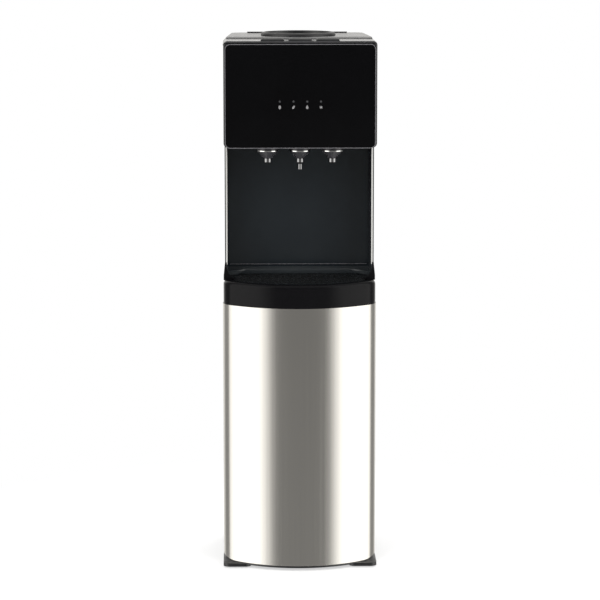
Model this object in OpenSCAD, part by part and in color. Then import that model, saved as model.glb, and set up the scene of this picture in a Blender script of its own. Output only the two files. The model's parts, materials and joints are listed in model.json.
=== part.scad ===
// Top load water cooler with three taps, worked by push keys on its top front edge.
// Millimetres, +Z up, the front faces -Y, the origin is the centre of the footprint on the floor.

/* [Cabinet] */
// Width over the side panels
cabinet_w = 296; // [280:1:320]
// Depth from the middle of the bowed front to the rear panel
body_d = 308; // [290:1:340]
// How far the middle of the front bows out past its corners
bow = 66; // [45:1:80]
// Radius of the folded front corners
bow_corner_r = 45; // [30:1:50]
// Thickness of the steel sheets
sheet = 1; // [0.7:0.1:1.5]
// Depth of the strip where the front panel wraps onto the sides
panel_return = 10; // [8:1:20]
// Width of the flanges folded in from the sheets
flange = 14; // [13:1:20]

/* [Heights] */
// Floor to the lower edge of the front panel
floor_gap = 10; // [9:0.5:14]
// Height of the front panel
panel_h = 518; // [440:1:600]
// Height of the shelf moulding that holds the drip tray
shelf_h = 47; // [46:1:60]
// Height of the open alcove above the shelf
alcove_h = 269; // [250:1:320]
// Height of the hood from the alcove ceiling to the deck
hood_h = 207; // [203:1:240]
// Height of the rear deck above the key deck
deck_step = 3; // [2:0.5:5]
// Height of the bottle collar above the rear deck
collar_rise = 6; // [5.5:0.5:12]

/* [Base] */
// How far the corner shoes stand out past the cabinet
shoe_proud = 2.5; // [2:0.5:4]
// Width of each corner shoe across the front
shoe_w = 50; // [40:1:60]
// Distance from the middle of the front back to the straight front of the shoes
shoe_setback = 26; // [20:1:34]
// Radius of the corners of the shoes
shoe_r = 12; // [8:1:16]
// Thickness of the floor of the base pan
pan_t = 4; // [3:0.5:5]
// Height of the rubber feet under the shoes
foot_h = 3; // [2:0.5:4]
// Radius of the rubber feet
foot_r = 14; // [10:1:16]
// Radius of the stems of the feet
foot_stem_r = 4; // [3:0.5:6]

/* [Shelf and tray] */
// Wall of the shelf moulding
shelf_wall = 3; // [2.5:0.5:4]
// Radius of the rounded top edge of the shelf
shelf_edge_r = 9; // [5:1:12]
// Distance from the shelf front to the tray pocket
pocket_inset = 15; // [13:1:22]
// Depth of the tray pocket
pocket_depth = 34; // [30:1:40]
// Cut across the rear corners of the pocket
pocket_chamfer = 25; // [15:1:35]
// Height of the cove at the foot of the alcove back
cove_h = 13; // [8:1:18]
// Clearance between the tray and its pocket
tray_gap = 0.6; // [0.3:0.1:1.5]
// Wall of the drip tray
tray_wall = 2; // [1.5:0.5:3]
// Thickness of the drip grille
grille_t = 3; // [2:0.5:5]
// Width of the slots in the grille
slot_w = 5; // [3:0.5:6]
// Length of the slots in the grille
slot_l = 22; // [14:1:26]
// Width of the bars between the slots
slot_bar = 4; // [3:0.5:8]

/* [Alcove] */
// Distance from the front of the shelf to the alcove back
alcove_d = 182; // [165:1:190]
// Thickness of the cheeks of the alcove
cheek_t = 4; // [3:0.5:6]
// Thickness of the gloss panel on the alcove back
back_panel_t = 2; // [1.5:0.5:3]

/* [Hood] */
// How far the hood front lies behind the middle of the front panel
hood_setback = 10; // [5:1:20]
// Wall of the hood moulding
hood_wall = 2.5; // [2:0.5:3]
// Clearance between the hood and the side panels
hood_gap = 0.5; // [0.3:0.1:1]
// Radius of the hood corners seen from the front
hood_corner_r = 9; // [6:1:14]
// Width of the bevel round the hood front
hood_bevel = 3; // [2:0.5:4]
// Thickness of the gloss fascia plate
fascia_t = 2; // [1.5:0.5:3]
// Clearance round the fascia plate
fascia_gap = 0.3; // [0.2:0.1:0.5]
// Height of the indicator row above the lower edge of the hood
lamp_up = 90; // [70:1:110]
// Distance between indicators
lamp_pitch = 26.7; // [20:0.1:32]
// Radius of an indicator lens
lamp_r = 2; // [1.5:0.1:3]

/* [Keys] */
// Width of a key
key_w = 44; // [38:1:46]
// Distance between key centres
key_pitch = 54; // [52:1:58]
// Length of a key cap, front to back
key_d = 32; // [26:1:34]
// Height of a key above the key deck
key_rise = 7; // [5:0.5:9]
// Clearance of a key in its slot
key_gap = 1; // [0.6:0.1:1.5]
// Extra clearance in front of a key for its swing
key_swing_gap = 2.4; // [2.2:0.1:3]
// Radius of the shaft that the keys turn on
key_shaft_r = 2; // [1.5:0.1:3]
// Running clearance of the keys and rods
run_gap = 0.05; // [0.03:0.01:0.1]

/* [Taps] */
// Distance between taps
tap_pitch = 63.3; // [58:0.1:66]
// Distance from the hood front to the tap axis
tap_back = 33; // [30:1:36]
// Radius of a tap's cone where it leaves the hood
tap_cone_r = 18.5; // [16:0.5:20]
// Length of a tap's spout below the hood
tap_drop = 32; // [28:1:38]
// Radius of the spout tip
tap_tip_r = 7; // [6:0.5:8]
// Height of the tap barrel above the hood floor
tap_barrel_h = 62; // [58:1:66]
// Radius of a push rod
rod_r = 3; // [2.5:0.1:3.5]
// Length of the thin inner spout under the middle tap
inner_spout = 13; // [8:1:18]

/* [Water tanks] */
// Radius of the cold tank
cold_r = 75; // [68:1:78]
// Height of the cold tank
cold_h = 158; // [150:1:166]
// Distance from the rear panel forward to the tank axis
tank_back = 109; // [106:1:112]
// Thickness of the foam round the cold tank
foam_t = 18; // [15:1:19]
// Radius of the evaporator tube
coil_tube_r = 3; // [2.5:0.1:3.5]
// Turns of the evaporator coil
coil_turns = 6; // [4:1:8]
// Radius of the hot tank
hot_r = 42; // [36:1:43]
// Height of the hot tank
hot_h = 165; // [140:1:175]
// Thickness of the heater band
heater_t = 2.5; // [2:0.5:3]
// Thickness of the wall of the hot tank's jacket
jacket_t = 5; // [4:0.5:6]

/* [Bottle collar] */
// Outer radius of the collar rim
collar_r = 75; // [73:1:82]
// Radius of the hole in the rear deck under the collar
deck_hole_r = 70; // [66:1:72]
// Radius of the socket for the bottle neck
neck_r = 31; // [28:0.5:33]
// Length of the socket for the bottle neck
neck_l = 30; // [24:1:34]
// Wall of the collar
collar_wall = 3; // [2.5:0.5:4]

/* [Cooling system] */
// Radius of the condenser tube
cond_tube_r = 2.5; // [2:0.1:3]
// Distance from one run of the condenser to the next
cond_pitch = 38; // [32:1:40]
// Runs of the condenser, an odd number
cond_runs = 15; // [9:2:15]
// Half the length of a run between bend corners
cond_half_w = 105; // [90:1:108]
// Distance from the rear panel to the condenser tube
cond_off = 25; // [20:1:32]
// Radius of the condenser wires
wire_r = 0.8; // [0.6:0.1:1]
// Distance between condenser wires
wire_pitch = 15; // [12:1:20]
// Radius of the compressor shell
comp_r = 58; // [52:1:60]
// Height of the compressor shell
comp_h = 146; // [135:1:150]
// Radius of the suction and discharge pipes
pipe_r = 3; // [2.5:0.1:3.2]
// Radius of the capillary tube
cap_r = 1.2; // [1:0.1:1.5]

/* [Rear fittings] */
// Width of the opening for the compressor bay
bay_w = 224; // [216:1:240]
// Height of the opening for the compressor bay
bay_h = 195; // [190:1:205]
// Width of a rocker switch
switch_w = 13; // [11:1:15]
// Height of a rocker switch
switch_h = 19; // [17:1:22]
// Angle that a rocker tips to each side
rocker_tip = 9; // [6:1:11]
// Radius of the drain spigot
drain_r = 8; // [7:0.5:10]
// Length of the drain spigot behind the rear panel
drain_l = 20; // [16:1:24]
// Radius of the hole in the gland for the cord
gland_bore_r = 4; // [3:0.5:5]
// Shank radius of the screws
screw_r = 2; // [1.6:0.1:2.5]

/* [Hidden] */
$fn = 48;
arc_n = 48;
corner_n = 10;
over = 1;
touch = 0.3;

black = "#1b1c1e";
gloss = "#0c0d0f";
slate = "#22272a";
grey = "#8d8f91";
steel = "#b8b4ac";
zinc = "#9fa3a6";
copper = "#b87348";
silicone = "#d8d6cf";

// Heights of the main joints
rim_h = 10;
rib_h = 8;
deck_t = 3;
deck_skirt = 13;
z_panel = floor_gap;
z_shelf = z_panel + panel_h;
z_tray = z_shelf + shelf_h;
z_hood = z_tray + alcove_h;
z_deck = z_hood + hood_h;
z_rear = z_deck + deck_step;
z_top = z_rear + collar_rise;
z_sides = z_deck - deck_skirt;

// Plan of the cabinet
clip_t = 2;
overall_d = body_d + cond_off + cond_tube_r + clip_t;
front_y = -overall_d / 2;
rear_y = front_y + body_d;
half_w = cabinet_w / 2;
bow_r = (pow(half_w, 2) + pow(bow, 2)) / (2 * bow);
bow_cy = front_y + bow_r;
corner_x = half_w - bow_corner_r;
corner_dy = sqrt(pow(bow_r - bow_corner_r, 2) - pow(corner_x, 2));
corner_y = bow_cy - corner_dy;
corner_a = atan2(corner_x, corner_dy);
side_front = corner_y + panel_return;
inner_w = half_w - sheet;

// Points along the bowed front, inset by e, from the left corner to the right one
function corner_arc(r, side) = [for (i = [1:corner_n])
    let (k = side > 0 ? i : corner_n + 1 - i, t = corner_a + (90 - corner_a) * k / corner_n)
    [side * (corner_x + r * sin(t)), corner_y - r * cos(t)]];
function front_arc(r, a) = [for (i = [0:arc_n])
    let (t = -a + 2 * a * i / arc_n) [r * sin(t), bow_cy - r * cos(t)]];
function bow_line(e) = e < bow_corner_r
    ? concat(corner_arc(bow_corner_r - e, -1), front_arc(bow_r - e, corner_a),
             corner_arc(bow_corner_r - e, 1))
    : front_arc(bow_r - e, asin((half_w - e) / (bow_r - e)));
function outline(e, back) = concat(bow_line(e), [[half_w - e, back], [e - half_w, back]]);

// Plan of the tray pocket, with its rear corners cut off
pocket_rear_gap = 17;
pocket_back = front_y + alcove_d - pocket_rear_gap;
function tray_line(e) =
    let (w = half_w - e, b = pocket_back - (e - pocket_inset),
         c = pocket_chamfer - (2 - sqrt(2)) * (e - pocket_inset))
    concat(bow_line(e), [[w, b - c], [w - c, b], [c - w, b], [-w, b - c]]);

module bow_solid(e, back, h) {
    linear_extrude(h) polygon(outline(e, back));
}

module tray_solid(e, h) {
    linear_extrude(h) polygon(tray_line(e));
}

// A block between two corners
module block(a, b) {
    translate(a) cube(b - a);
}

module rounded_square(size, r) {
    for (x = [r, size[0] - r], y = [r, size[1] - r]) translate([x, y]) circle(r);
    translate([r, 0]) square([size[0] - 2 * r, size[1]]);
    translate([0, r]) square([size[0], size[1] - 2 * r]);
}

module y_cylinder(r, y0, y1) {
    translate([0, y1, 0]) rotate([90, 0, 0]) cylinder(r = r, h = y1 - y0);
}

module x_cylinder(r, x0, x1) {
    translate([x0, 0, 0]) rotate([0, 90, 0]) cylinder(r = r, h = x1 - x0);
}

module both_sides() {
    children();
    mirror([1, 0, 0]) children();
}

// A tube along points joined by runs parallel to the axes, with a quarter bend at each corner
function unit(v) = v / norm(v);
function perp(d) = abs(d[0]) > 0.5 ? [0, 1, 0] : [1, 0, 0];
module placed(x, y, z, at) {
    multmatrix([[x[0], y[0], z[0], at[0]], [x[1], y[1], z[1], at[1]], [x[2], y[2], z[2], at[2]],
                [0, 0, 0, 1]]) children();
}
module pipe(points, r, bend) {
    last = len(points) - 1;
    for (i = [0:last - 1]) {
        d = unit(points[i + 1] - points[i]);
        from = i == 0 ? 0 : bend;
        to = norm(points[i + 1] - points[i]) - (i == last - 1 ? 0 : bend);
        if (to - from > 0.01) placed(perp(d), cross(d, perp(d)), d, points[i] + d * from)
            cylinder(r = r, h = to - from, $fn = 24);
        if (i < last - 1) {
            n = unit(points[i + 2] - points[i + 1]);
            placed(-n, d, cross(-n, d), points[i + 1] - d * bend + n * bend)
                rotate_extrude(angle = 90, $fn = 48) translate([bend, 0]) circle(r, $fn = 24);
        }
    }
}

// A helix of round wire about Z, as one closed skin
function ring(p, u, v, r, sides) = [for (k = [0:sides - 1])
    p + u * r * cos(360 * k / sides) + v * r * sin(360 * k / sides)];
module helix(radius, wire, z0, z1, a0, a1, steps, sides) {
    rise = (z1 - z0) / ((a1 - a0) * PI / 180);
    points = [for (i = [0:steps]) let (
            a = a0 + (a1 - a0) * i / steps,
            out = [cos(a), sin(a), 0],
            along = unit([-radius * sin(a), radius * cos(a), rise]))
        each ring(out * radius + [0, 0, z0 + (z1 - z0) * i / steps], out, cross(along, out),
                  wire, sides)];
    walls = [for (i = [0:steps - 1], k = [0:sides - 1]) let (
            a = i * sides + k,
            b = i * sides + (k + 1) % sides)
        each [[a, b, b + sides], [a, b + sides, a + sides]]];
    first = [for (k = [1:sides - 2]) [0, k + 1, k]];
    end = steps * sides;
    close = [for (k = [1:sides - 2]) [end, end + k, end + k + 1]];
    polyhedron(points, concat(walls, first, close));
}

// Base pan and feet
pan_rim_t = 2.5;
shoe_len = 45;
shoe_back = corner_y + shoe_len;
foot_inset = 24;
foot_x = half_w - foot_inset;
foot_front_y = corner_y + 15;
foot_rear_y = rear_y - foot_inset;
comp_back = 76;
comp_y = rear_y - comp_back;
comp_foot = [70, 40];
comp_boss_h = 4;
comp_boss_r = 9;
stem_up = 5;

module shoe(y0, y1) {
    x0 = half_w - shoe_w;
    translate([x0, y0, foot_h]) linear_extrude(z_panel - foot_h) offset(shoe_r) offset(-shoe_r)
        square([shoe_w + shoe_proud, y1 - y0]);
}

module at_feet() {
    for (x = [-foot_x, foot_x], y = [foot_front_y, foot_rear_y]) translate([x, y, 0]) children();
}

module at_compressor_feet() {
    for (x = [-1, 1], y = [-1, 1])
        translate([x * comp_foot[0], comp_y + y * comp_foot[1], 0]) children();
}

module base_pan() color(black) difference() {
    union() {
        translate([0, 0, z_panel - pan_t]) bow_solid(0, rear_y, pan_t);
        translate([0, 0, z_panel - pan_t])
            bow_solid(sheet + touch, rear_y - sheet - touch, pan_t + rim_h);
        both_sides() {
            shoe(front_y + shoe_setback, shoe_back);
            shoe(rear_y - shoe_w, rear_y + shoe_proud);
        }
    }
    difference() {
        translate([0, 0, z_panel]) bow_solid(sheet + touch + pan_rim_t,
            rear_y - sheet - touch - pan_rim_t, rim_h + over);
        at_compressor_feet() translate([0, 0, z_panel - over])
            cylinder(r = comp_boss_r, h = over + comp_boss_h);
    }
    at_feet() cylinder(r = foot_stem_r + run_gap, h = foot_h + stem_up + run_gap);
    at_compressor_feet() translate([0, 0, z_panel - pan_t - over])
        cylinder(r = screw_r + run_gap, h = pan_t + comp_boss_h + 2 * over);
}

module rubber_feet() color("#111111") at_feet() {
    cylinder(r1 = foot_r - 1, r2 = foot_r, h = foot_h);
    cylinder(r = foot_stem_r, h = foot_h + stem_up);
}

// Sheet steel of the cabinet
flange_z = z_panel + rim_h + 2;
module front_panel() color(steel) {
    translate([0, 0, z_panel]) difference() {
        bow_solid(0, side_front, panel_h);
        translate([0, 0, -over]) bow_solid(sheet, side_front + over, panel_h + 2 * over);
    }
    both_sides() block([half_w - flange, side_front - sheet, flange_z],
                       [half_w - sheet / 2, side_front, z_shelf - rib_h - over]);
}

screw_x = half_w - flange / 2;
screw_end = 40;
screw_z = [for (k = [0:3])
    z_panel + screw_end + k * (z_sides - z_panel - 2 * screw_end) / 3];
module at_rear_screws() {
    for (x = [-screw_x, screw_x], z = screw_z) translate([x, 0, z]) children();
}

sheet_line = [
    [inner_w, side_front + touch], [half_w, side_front + touch], [half_w, rear_y - sheet],
    [half_w - flange, rear_y - sheet], [half_w - flange, rear_y - 2 * sheet],
    [inner_w, rear_y - 2 * sheet]];
module side_sheet() difference() {
    union() {
        translate([0, 0, z_panel]) linear_extrude(z_sides - z_panel) polygon(sheet_line);
        block([half_w - flange, side_front + touch, flange_z],
              [half_w - sheet / 2, side_front + touch + sheet, z_shelf - rib_h - over]);
    }
    block([half_w - flange - over, rear_y - 3 * sheet, z_panel - over],
          [inner_w, rear_y - sheet + over, flange_z]);
    at_rear_screws() y_cylinder(screw_r + run_gap, rear_y - 3 * sheet, rear_y + over);
}

module left_side_panel() color(black) mirror([1, 0, 0]) side_sheet();

module right_side_panel() color(black) side_sheet();

// Rear panel with its openings, the one for the compressor bay open down to the base pan
bay_z = z_panel + 30;
bay_r = 10;
switch_side = 36;
switch_pitch = 28;
switch_x = [switch_side - half_w, switch_side + switch_pitch - half_w];
switch_z = z_sides - 85;
switch_hole = 2;
drain_x = -70;
drain_z = z_panel + 280;
gland_x = 80;
gland_z = bay_z + bay_h + 30;
gland_wall = 2.5;
vent_rows = 5;
vent_pitch = 9;
vent_w = 56;
vent_h = 3.5;
vent_at = [35, rear_y + over, switch_z - 20];

module vent_slots() {
    for (i = [0:vent_rows - 1]) translate(vent_at + [0, 0, i * vent_pitch]) rotate([90, 0, 0])
        linear_extrude(sheet + 2 * over) rounded_square([vent_w, vent_h], vent_h / 2 - 0.1);
}

// A block as large as a rocker switch and e more on each side
module switch_block(e, y0, y1) {
    block([-switch_w / 2 - e, y0, -switch_h / 2 - e], [switch_w / 2 + e, y1, switch_h / 2 + e]);
}

module rear_panel() color(zinc) difference() {
    block([-half_w, rear_y - sheet, z_panel], [half_w, rear_y, z_sides]);
    translate([-bay_w / 2, rear_y + over, z_panel - bay_r]) rotate([90, 0, 0])
        linear_extrude(sheet + 2 * over)
            rounded_square([bay_w, bay_z + bay_h - z_panel + bay_r], bay_r);
    vent_slots();
    for (x = switch_x) translate([x, 0, switch_z])
        switch_block(switch_hole, rear_y - sheet - over, rear_y + over);
    translate([drain_x, 0, drain_z])
        y_cylinder(drain_r + touch, rear_y - sheet - over, rear_y + over);
    translate([gland_x, 0, gland_z])
        y_cylinder(gland_bore_r + gland_wall + touch, rear_y - sheet - over, rear_y + over);
    at_rear_screws() y_cylinder(screw_r + run_gap, rear_y - 3 * sheet, rear_y + over);
}

screw_tip = 4;
screw_slot = 0.4;
module rear_screws() color(zinc) at_rear_screws() {
    y_cylinder(screw_r, rear_y - 2 * sheet - screw_tip, rear_y);
    translate([0, rear_y, 0]) rotate([-90, 0, 0]) difference() {
        cylinder(r1 = 2 * screw_r, r2 = 1.5 * screw_r, h = screw_r);
        for (a = [0, 90]) rotate(a)
            block([-screw_r, -screw_slot, screw_r / 2], [screw_r, screw_slot, 2 * screw_r]);
    }
}

// Shelf moulding, drip tray and grille
shelf_back = front_y + alcove_d + back_panel_t + 3;
pocket_z = z_tray - pocket_depth;
edge_steps = 6;
skin = 0.02;

module shelf_blank() hull() {
    translate([0, 0, z_shelf]) bow_solid(0, shelf_back, shelf_h - shelf_edge_r);
    for (i = [1:edge_steps]) {
        a = 90 * i / edge_steps;
        translate([0, 0, z_tray - shelf_edge_r * (1 - sin(a)) - skin])
            bow_solid(shelf_edge_r * (1 - cos(a)), shelf_back, skin);
    }
}

module shelf() color(gloss) difference() {
    union() {
        difference() {
            shelf_blank();
            translate([0, 0, z_shelf - over]) bow_solid(shelf_wall, shelf_back - shelf_wall,
                shelf_h - shelf_wall + over - shelf_edge_r);
        }
        translate([0, 0, pocket_z - shelf_wall])
            tray_solid(pocket_inset - shelf_wall, pocket_depth + shelf_wall - over);
        difference() {
            translate([0, 0, z_shelf - rib_h]) bow_solid(sheet + touch, side_front, rib_h + over);
            translate([0, 0, z_shelf - rib_h - over])
                bow_solid(sheet + touch + shelf_wall, side_front + over, rib_h + 3 * over);
        }
    }
    translate([0, 0, pocket_z]) tray_solid(pocket_inset, pocket_depth + over);
    both_sides() block([inner_w - touch, side_front, z_shelf - over],
                       [half_w + over, shelf_back + over, z_tray + over]);
}

tray_e = pocket_inset + tray_gap;
tray_in = tray_e + tray_wall;
ledge_w = 4;
ledge_t = 2;
grille_gap = 0.4;
grille_z = z_tray - grille_t - touch;
module drip_tray() color(black) difference() {
    translate([0, 0, pocket_z + touch]) tray_solid(tray_e, pocket_depth - 2 * touch);
    translate([0, 0, pocket_z + touch + tray_wall])
        tray_solid(tray_in, grille_z - ledge_t - touch - pocket_z - tray_wall - touch);
    translate([0, 0, grille_z - ledge_t - over]) tray_solid(tray_in + ledge_w, pocket_depth);
    translate([0, 0, grille_z - touch]) tray_solid(tray_in, pocket_depth);
}

grille_e = tray_in + grille_gap;
slot_e = grille_e + ledge_w + 1;
slot_px = slot_l + slot_bar;
slot_py = slot_w + slot_bar;
grille_back = pocket_back - (slot_e - pocket_inset);
grille_cut = pocket_chamfer - (2 - sqrt(2)) * (slot_e - pocket_inset);
function front_at(x) = bow_cy - sqrt(pow(bow_r - slot_e, 2) - pow(x, 2));
function slot_fits(x, y) = let (ax = abs(x) + slot_l / 2)
    ax < half_w - slot_e
    && y - slot_w / 2 > front_at(ax)
    && y + slot_w / 2 < grille_back
    && ax + y + slot_w / 2 < half_w - slot_e + grille_back - grille_cut;
function slot_points() = [for (s = [0, 1], i = [0:4])
    let (a = s * 180 - 90 + 45 * i, dx = slot_l / 2 - slot_w / 2)
    [(s == 0 ? dx : -dx) + slot_w / 2 * cos(a), slot_w / 2 * sin(a)]];
slot_cols = ceil(half_w / slot_px);
module drip_grille() color("#151617") translate([0, 0, grille_z]) linear_extrude(grille_t)
    difference() {
        polygon(tray_line(grille_e));
        for (j = [0:floor((grille_back - front_y) / slot_py)], i = [-slot_cols:slot_cols]) {
            x = (i + (j % 2) / 2) * slot_px;
            y = grille_back - slot_w / 2 - 0.5 - j * slot_py;
            if (slot_fits(x, y)) translate([x, y]) polygon(slot_points());
        }
    }

// Alcove
alcove_y = front_y + alcove_d;
cheek_x = inner_w - touch;
liner_t = 2.5;
hood_lap = 10;
hood_y = front_y + hood_setback;
hood_back = side_front + hood_lap;
cove_steps = 8;
cove_side = 0.6;
cove_cut = 1.6 * pocket_chamfer;
module cheek() linear_extrude(alcove_h) polygon([
    [cheek_x, side_front], [cheek_x, alcove_y + back_panel_t],
    [cheek_x - cheek_t, alcove_y + back_panel_t], [cheek_x - cheek_t, side_front + cheek_t / 2],
    [cheek_x - cheek_t * 0.7, side_front]]);

module cove() {
    x = cheek_x - cheek_t / 2;
    section = concat([[alcove_y + back_panel_t, z_tray]], [for (i = [0:cove_steps])
        let (a = 90 * i / cove_steps)
        [alcove_y - cove_h * (1 - sin(a)), z_tray + cove_h * (1 - cos(a))]],
        [[alcove_y + back_panel_t, z_tray + cove_h]]);
    rotate([90, 0, 90]) translate([0, 0, -x]) linear_extrude(2 * x) polygon(section);
    both_sides() translate([0, 0, z_tray]) linear_extrude(cove_h * cove_side)
        polygon([[x, alcove_y], [x - cove_cut, alcove_y], [x, alcove_y - cove_cut]]);
}

module alcove_liner() color(slate) {
    translate([0, 0, z_tray]) both_sides() cheek();
    block([-cheek_x, alcove_y + back_panel_t, z_tray],
          [cheek_x, alcove_y + back_panel_t + liner_t, z_hood]);
    block([-cheek_x, hood_back + touch, z_hood],
          [cheek_x, alcove_y + back_panel_t + liner_t, z_hood + liner_t]);
    cove();
}

module alcove_back_panel() color(gloss)
    block([cheek_t - cheek_x, alcove_y, z_tray + cove_h],
          [cheek_x - cheek_t, alcove_y + back_panel_t, z_hood]);

// Hood moulding and fascia
hood_half = half_w + hood_gap + hood_wall;
hood_front_t = 4.5;
frame_top = z_deck - deck_t;
frame_border = 4;
post_l = 6;
lamp_z = z_hood + lamp_up;
lamp_x = [for (i = [-1.5:1:1.5]) i * lamp_pitch];
tap_y = hood_y + tap_back;
tap_x = [-tap_pitch, 0, tap_pitch];

function round_corner(x, y, r, a0) = [for (i = [0:corner_n])
    let (a = a0 + 90 * i / corner_n) [x + r * cos(a), y + r * sin(a)]];
function hood_line(e, top) =
    let (r = max(hood_corner_r - e, 0.5), x = hood_half - e - r, y = z_hood + e + r)
    concat(round_corner(-x, y, r, 180), round_corner(x, y, r, 270),
           [[hood_half - e, top], [e - hood_half, top]]);
function plate_line(e) =
    let (r = hood_corner_r - e, x = hood_half - frame_border - e - r,
         y0 = z_hood + e + r, y1 = frame_top - frame_border - e - r)
    concat(round_corner(-x, y0, r, 180), round_corner(x, y0, r, 270),
           round_corner(x, y1, r, 0), round_corner(-x, y1, r, 90));

// Extrudes an outline drawn in X and Z from y0 back to y1
module front_slab(points, y0, y1) {
    translate([0, y1, 0]) rotate([90, 0, 0]) linear_extrude(y1 - y0) polygon(points);
}

module hood_frame() color("#2a2c2e") difference() {
    union() {
        hull() {
            front_slab(hood_line(hood_bevel, frame_top - hood_bevel), hood_y, hood_y + skin);
            front_slab(hood_line(0, frame_top), hood_y + hood_bevel, hood_y + hood_bevel + skin);
        }
        front_slab(hood_line(0, frame_top), hood_y + hood_bevel, hood_back);
    }
    front_slab(hood_line(hood_wall, frame_top + over), hood_y + hood_front_t, hood_back + over);
    front_slab(plate_line(0), hood_y - over, hood_y + fascia_t);
    both_sides() block([inner_w - touch, side_front - touch, z_hood - over],
                       [half_w + hood_gap, hood_back + over, z_hood + hood_corner_r + 2 * over]);
    for (x = tap_x) translate([x, tap_y, z_hood - over])
        cylinder(r = tap_cone_r + touch, h = hood_wall + 2 * over);
    for (x = lamp_x) translate([x, 0, lamp_z])
        y_cylinder(lamp_r + touch, hood_y, hood_y + 2 * hood_front_t);
}

module fascia_plate() color(gloss) difference() {
    front_slab(plate_line(fascia_gap), hood_y, hood_y + fascia_t);
    for (x = lamp_x) translate([x, 0, lamp_z])
        y_cylinder(lamp_r + run_gap, hood_y - over, hood_y + fascia_t + over);
}

module indicator_lenses() color("#cfd2d4") for (x = lamp_x) translate([x, 0, lamp_z])
    y_cylinder(lamp_r, hood_y, hood_y + hood_front_t);

board_y = hood_y + hood_front_t + post_l;
board_t = 1.6;
board_half = [60, 22];
post_at = [54, 17];
post_r = 3;
relay_box = [[-34, board_t, -16], [-10, 11, 6]];
chip_box = [[14, board_t, -8], [38, 4, 8]];
module control_board() color("#1f5a3a") translate([0, board_y, lamp_z]) {
    block([-board_half[0], 0, -board_half[1]], [board_half[0], board_t, board_half[1]]);
    for (x = [-1, 1], z = [-1, 1]) translate([x * post_at[0], 0, z * post_at[1]])
        y_cylinder(post_r, -post_l, 0);
    for (x = lamp_x) translate([x, 0, 0]) y_cylinder(lamp_r * 0.75, touch - post_l, 0);
    block(relay_box[0], relay_box[1]);
    block(chip_box[0], chip_box[1]);
}

// Decks
module deck_plan(y0, y1, front_r, rear_r, inset) {
    x = hood_half - inset;
    translate([-x, y0]) rounded_square([2 * x, y1 - y0], max(front_r, rear_r));
    if (front_r < rear_r) translate([-x, y0]) square([2 * x, 2 * rear_r]);
    if (rear_r < front_r) translate([-x, y1 - 2 * front_r]) square([2 * x, 2 * front_r]);
}

key_edge = 6;
key_y = hood_y + key_edge;
key_x = [-key_pitch, 0, key_pitch];
key_arm = 26;
pivot_down = 11;
pivot_y = tap_y + key_arm;
pivot_z = z_deck - pivot_down;
deck_front_r = 8;
key_slot_r = 3;
module key_deck() color(grey) difference() {
    translate([0, 0, frame_top]) linear_extrude(deck_t)
        deck_plan(hood_y, hood_back, deck_front_r, 0, 0);
    for (x = key_x) translate([x - key_w / 2 - key_gap, key_y - key_swing_gap, frame_top - over])
        linear_extrude(deck_t + 2 * over) rounded_square(
            [key_w + 2 * key_gap, key_d + key_swing_gap + key_gap], key_slot_r);
}

deck_rear_r = 14;
rear_deck_y = hood_back + touch;
tank_y = rear_y - tank_back;
module rear_deck() color(grey) difference() {
    translate([0, 0, z_sides]) linear_extrude(z_rear - z_sides)
        deck_plan(rear_deck_y, rear_y + hood_wall, 0, deck_rear_r, 0);
    translate([0, 0, z_sides - over]) linear_extrude(z_rear - z_sides - deck_t + over)
        deck_plan(rear_deck_y + hood_wall, rear_y - sheet, 0, deck_rear_r - hood_wall,
                  hood_wall + hood_gap + sheet);
    translate([0, tank_y, z_rear - 2 * deck_t]) cylinder(r = deck_hole_r, h = 3 * deck_t, $fn = 96);
}

// Keys, their bracket and shaft
plate_z = pivot_z - 25;
bracket_t = 3;
bracket_end = 6;
bracket_front = 10;
ear_t = 5;
ear_r = 6;
guide_h = 8;
guide_wall = 3;
bracket_post_r = 5;
bracket_x = key_pitch * 1.5;
bracket_post_x = bracket_x + 14;
bracket_post_y = [tap_y - 3, pivot_y - 1];
module key_bracket() color(black) difference() {
    union() {
        block([-bracket_post_x - bracket_end, tap_y - bracket_front, plate_z - bracket_t],
              [bracket_post_x + bracket_end, pivot_y + ear_r, plate_z]);
        for (x = [-1.5:1:1.5]) block([x * key_pitch - ear_t / 2, pivot_y - ear_r, plate_z - over],
                                     [x * key_pitch + ear_t / 2, pivot_y + ear_r, pivot_z + ear_r]);
        for (x = [-bracket_post_x, bracket_post_x], y = bracket_post_y)
            translate([x, y, plate_z - over])
                cylinder(r = bracket_post_r, h = frame_top - plate_z + over);
        for (x = tap_x) translate([x, tap_y, plate_z - guide_h])
            cylinder(r = rod_r + guide_wall, h = guide_h);
    }
    translate([0, pivot_y, pivot_z]) x_cylinder(key_shaft_r + run_gap, -bracket_post_x, bracket_post_x);
    for (x = tap_x) translate([x, tap_y, plate_z - guide_h - over])
        cylinder(r = rod_r + run_gap, h = guide_h + 2 * over);
}

module key_shaft() color(zinc) translate([0, pivot_y, pivot_z])
    x_cylinder(key_shaft_r, -bracket_x - ear_t, bracket_x + ear_t);

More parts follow.
